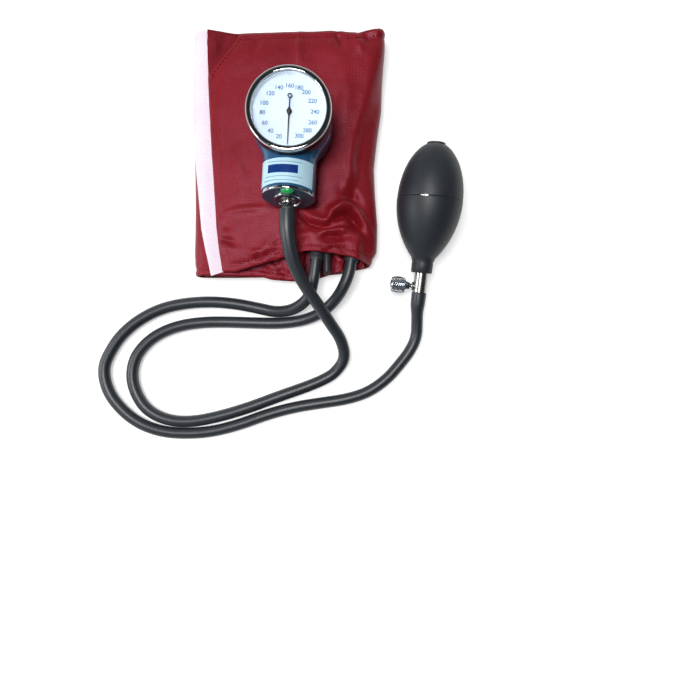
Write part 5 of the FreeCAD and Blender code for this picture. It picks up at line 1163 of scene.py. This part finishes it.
def number(value):
    """A number as a flat mesh, upright on the dial."""
    data = bpy.data.curves.new("number", "FONT")
    data.body = str(value)
    data.size = 3.3 * MM
    data.offset = 0.05 * MM
    data.align_x = data.align_y = "CENTER"
    made = bpy.data.objects.new("number", data)
    bpy.context.scene.collection.objects.link(made)
    graph = bpy.context.evaluated_depsgraph_get()
    mesh = bpy.data.meshes.new_from_object(made.evaluated_get(graph))
    bpy.data.objects.remove(made)
    x, y = dial_point(value, 14.5)
    mesh.transform(GAUGE @ Matrix.Translation(Vector((x - 0.3, y - 0.3, DIAL_TOP + 0.04)) * MM))
    return mesh


numbers = joined("dial_numbers", *[number(value) for value in SCALE])
place_piece("dial_numbers", numbers, dial_ink, "dial_white")

def eye(radius, gap):
    """Points round the eye in the pointer's tail, open by a gap in radians at its foot."""
    return [(radius * math.sin(a), EYE_Y - radius * math.cos(a))
            for a in np.linspace(gap, 2 * math.pi - gap, 28)]


EYE_Y = 8.4                               # the eye's centre, from the pointer's axis
BLADE_LEVEL = 27.5                        # the blade's underside, above the case's back
ring, hole = eye(1.35, 0.25), eye(0.8, 0)
blade = [(0.2, -18.2), (0.42, -2.9), (0.75, -1.9), (1.5, 0.0), (0.75, 1.4), (0.34, 2.2), (0.3, 7.0)]
outline = blade + ring[1:-1] + [(-x, y) for x, y in reversed(blade)] + [(0.0, -18.7)]
data = bmesh.new()
loop = [data.verts.new((x * MM, y * MM, BLADE_LEVEL * MM)) for x, y in outline]
inner = [data.verts.new((x * MM, y * MM, BLADE_LEVEL * MM)) for x, y in hole[:-1]]
edges = [data.edges.new(pair) for chain in (loop, inner)
         for pair in zip(chain, chain[1:] + chain[:1])]
flat = bmesh.ops.triangle_fill(data, use_beauty=True, edges=edges)
faces = [f for f in flat["geom"] if isinstance(f, bmesh.types.BMFace)]
up = bmesh.ops.extrude_face_region(data, geom=faces)
bmesh.ops.translate(data, vec=(0, 0, 0.3 * MM),
                    verts=[v for v in up["geom"] if isinstance(v, bmesh.types.BMVert)])
bmesh.ops.recalc_face_normals(data, faces=data.faces)
blade_mesh = bpy.data.meshes.new("pointer_blade")
data.to_mesh(blade_mesh)
data.free()
hub = turned("hub", [(0.0, 27.1), (0.9, 27.1), (0.9, 28.2), (0.7, 28.3), (0.0, 28.32)], 40)
mesh = joined("pointer", blade_mesh, hub)
mesh.transform(GAUGE)
place_piece("pointer_blade", mesh, black_lacquer, "pointer_black", "pointer",
            body="pointer_and_pinion")
print("numbers", len(numbers.polygons), "faces, pointer", len(mesh.polygons), "faces")

# %% [markdown]
# ## Bulb, valve and release screw
# The bulb is a moulded rubber egg, turned from its half outline. The mould's seam is a fine
# groove at its widest ring. Its axis leans and tilts a little, since the bulb lies on its
# side. The release screw's knob is knurled: rows of small pyramids, each row shifted by half
# a step.

# %% Bulb
# The bulb's own frame: its origin is on the rim of the collar, its Z runs to the far end.
BULB_ORIGIN = (58.2, -67.9, 13.63)
BULB_AXIS = Vector((0.09467, 0.98314, 0.15643))
BULB_SIDE = Vector((-0.995396, 0.095846, 0.0))
BULB = Matrix.Identity(4)
for column, axis in enumerate((BULB_SIDE, BULB_AXIS.cross(BULB_SIDE), BULB_AXIS)):
    BULB.col[column][:3] = axis
BULB.translation = Vector(BULB_ORIGIN) * MM
NOSE = 76.3                               # the rim round the far end's opening


WIDEST = 44.0                             # the bulb's widest ring, from its collar
BULB_RADIUS = 20.1
FLANK_RADIUS = 53.86                      # the arc from the collar to the widest ring
DOME_LENGTH = 33.96                       # the half ellipse from there to the far end


def egg(t):
    """Radius of the bulb at a distance t along its axis, in millimetres."""
    if t < WIDEST:
        return BULB_RADIUS - FLANK_RADIUS + math.sqrt(FLANK_RADIUS ** 2 - (WIDEST - t) ** 2)
    return BULB_RADIUS * math.sqrt(max(0.0, 1 - ((t - WIDEST) / DOME_LENGTH) ** 2))


skin = [(6.2, 0.0), (6.6, 0.5), (6.7, 5.8), (6.5, 6.6), (7.2, 8.4)]
skin += [(egg(t), t) for t in np.linspace(9.5, 43.4, 44)]
skin += [(20.12, 43.7), (20.08, 43.85), (19.7, 44.0), (19.66, 44.2), (19.9, 44.4)]
skin += [(egg(t) - 0.12, t) for t in np.linspace(44.7, 72, 34)]
skin += [(egg(t), t) for t in (73.4, 74.4, 75.1, 75.6, 75.95)]
skin += [(6.5, 76.13), (6.3, NOSE), (4.7, NOSE)]
skin += [(4.7, 73.5)] + [(max(4.7, egg(t) - 2.4), t) for t in np.linspace(72.5, 12, 40)]
skin += [(4.3, 9.0), (4.25, 8.0), (4.25, 0.0)]
bulb_mesh = turned("bulb_skin", skin, 128, BULB)
place_piece("bulb_skin", bulb_mesh, bulb_rubber, "bulb_rubber", "bulb")
# A small bright metal patch on the seam ring: a painted highlight.
seam_glint = turned("seam_glint", [(0.0, -0.3), (2.7, -0.3), (2.7, 0.0), (2.5, 0.14), (0.0, 0.18)], 32,
              BULB @ Matrix.Rotation(math.radians(-16.3), 4, "Z")
              @ Matrix.Translation(Vector((0, 20.02, 44.1)) * MM)
              @ Matrix.Rotation(math.radians(-90), 4, "X") @ Matrix.Diagonal((1.0, 0.19, 1.0, 1.0)))
place_piece("bulb_seam_painted_highlight", seam_glint, satin_nickel, "bulb_rubber")
print("bulb", len(bulb_mesh.polygons), "faces")

# %% Release screw and its seal
SCREW = Matrix.Identity(4)
for column, axis in enumerate((BULB_AXIS, BULB_SIDE.cross(BULB_AXIS), BULB_SIDE)):
    SCREW.col[column][:3] = axis
SCREW.translation = BULB @ (Vector((0, 0, -8.6)) * MM)
screw_outline = [(0.0, 2.1), (0.3, 2.1), (1.5, 3.5), (1.5, 6.5), (1.2, 6.55), (1.2, 7.45), (2.3, 7.55),
                 (2.5, 7.9), (2.6, 8.4), (2.8, 8.8), (3.5, 9.5), (4.05, 10.5), (4.3, 11.8), (4.4, 13.4),
                 (4.35, 15.2), (4.1, 16.7), (3.7, 17.7), (3.1, 18.4), (2.5, 18.7), (1.4, 18.7),
                 (1.2, 18.45), (0.0, 18.4)]
body = turned("screw", screw_outline, 72, closed=False)
knob_radii = [3.85, 4.1, 4.3, 4.4, 4.48, 4.5, 4.5, 4.48, 4.4, 4.3, 4.1, 3.85]
places = [(r * MM * math.cos(a), r * MM * math.sin(a), (9.9 + 0.68 * row) * MM)
          for row, r in enumerate(knob_radii) for k in range(20)
          for a in [2 * math.pi * (k + 0.5 * (row % 2)) / 20]]
host = bpy.data.meshes.new("knurl_places")
host.from_pydata(places, [], [])
knurl = grown("knurl", host, rounding, Size=(1.35 * MM, 1.4 * MM, 0.85 * MM), Pointed=True,
              Finish=knurled_nickel)
mesh = joined("release_screw_knurled", body, knurl)
mesh.transform(SCREW)
mesh.set_sharp_from_angle(angle=math.radians(25))
place_piece("release_screw_knurled", mesh, knurled_nickel, "chrome", "release_screw",
            body="release_screw")
tube_outline = [(1.2, -12.4), (3.9, -12.4), (4.2, -12.1), (4.2, 8.9), (4.1, 9.0), (1.2, 9.0)]
tube = turned("tube", tube_outline, 96, BULB)
boss_outline = [(0.0, 2.0), (2.7, 2.0), (2.7, 4.9), (2.4, 5.2), (1.6, 5.2), (1.6, 4.0), (0.0, 4.0)]
boss = turned("boss", boss_outline, 48, SCREW, closed=False)
valve = joined("valve_body_turned", tube, boss)
place_piece("valve_body_turned", valve, satin_nickel, "chrome", "valve_body")
seal_outline = [(1.7 + 0.5 * math.cos(a), 7.0 + 0.48 * math.sin(a))
                for a in np.linspace(0, 2 * math.pi, 17)[:-1]]
seal = turned("release_seal_ring", seal_outline, 48, SCREW)
place_piece("release_seal_ring", seal, seal_rubber, "o_ring_rubber", "release_o_ring",
            body="release_seal")
print("knurled screw", len(mesh.polygons), "faces")

# %% [markdown]
# ## What is soft
# The two hoses ride on the set and stand for the imported hose nodes.

for hose, node in ((gauge_hose, "gauge_hose"), (bulb_hose, "bulb_hose")):
    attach(hose, "set")
    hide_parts(node)
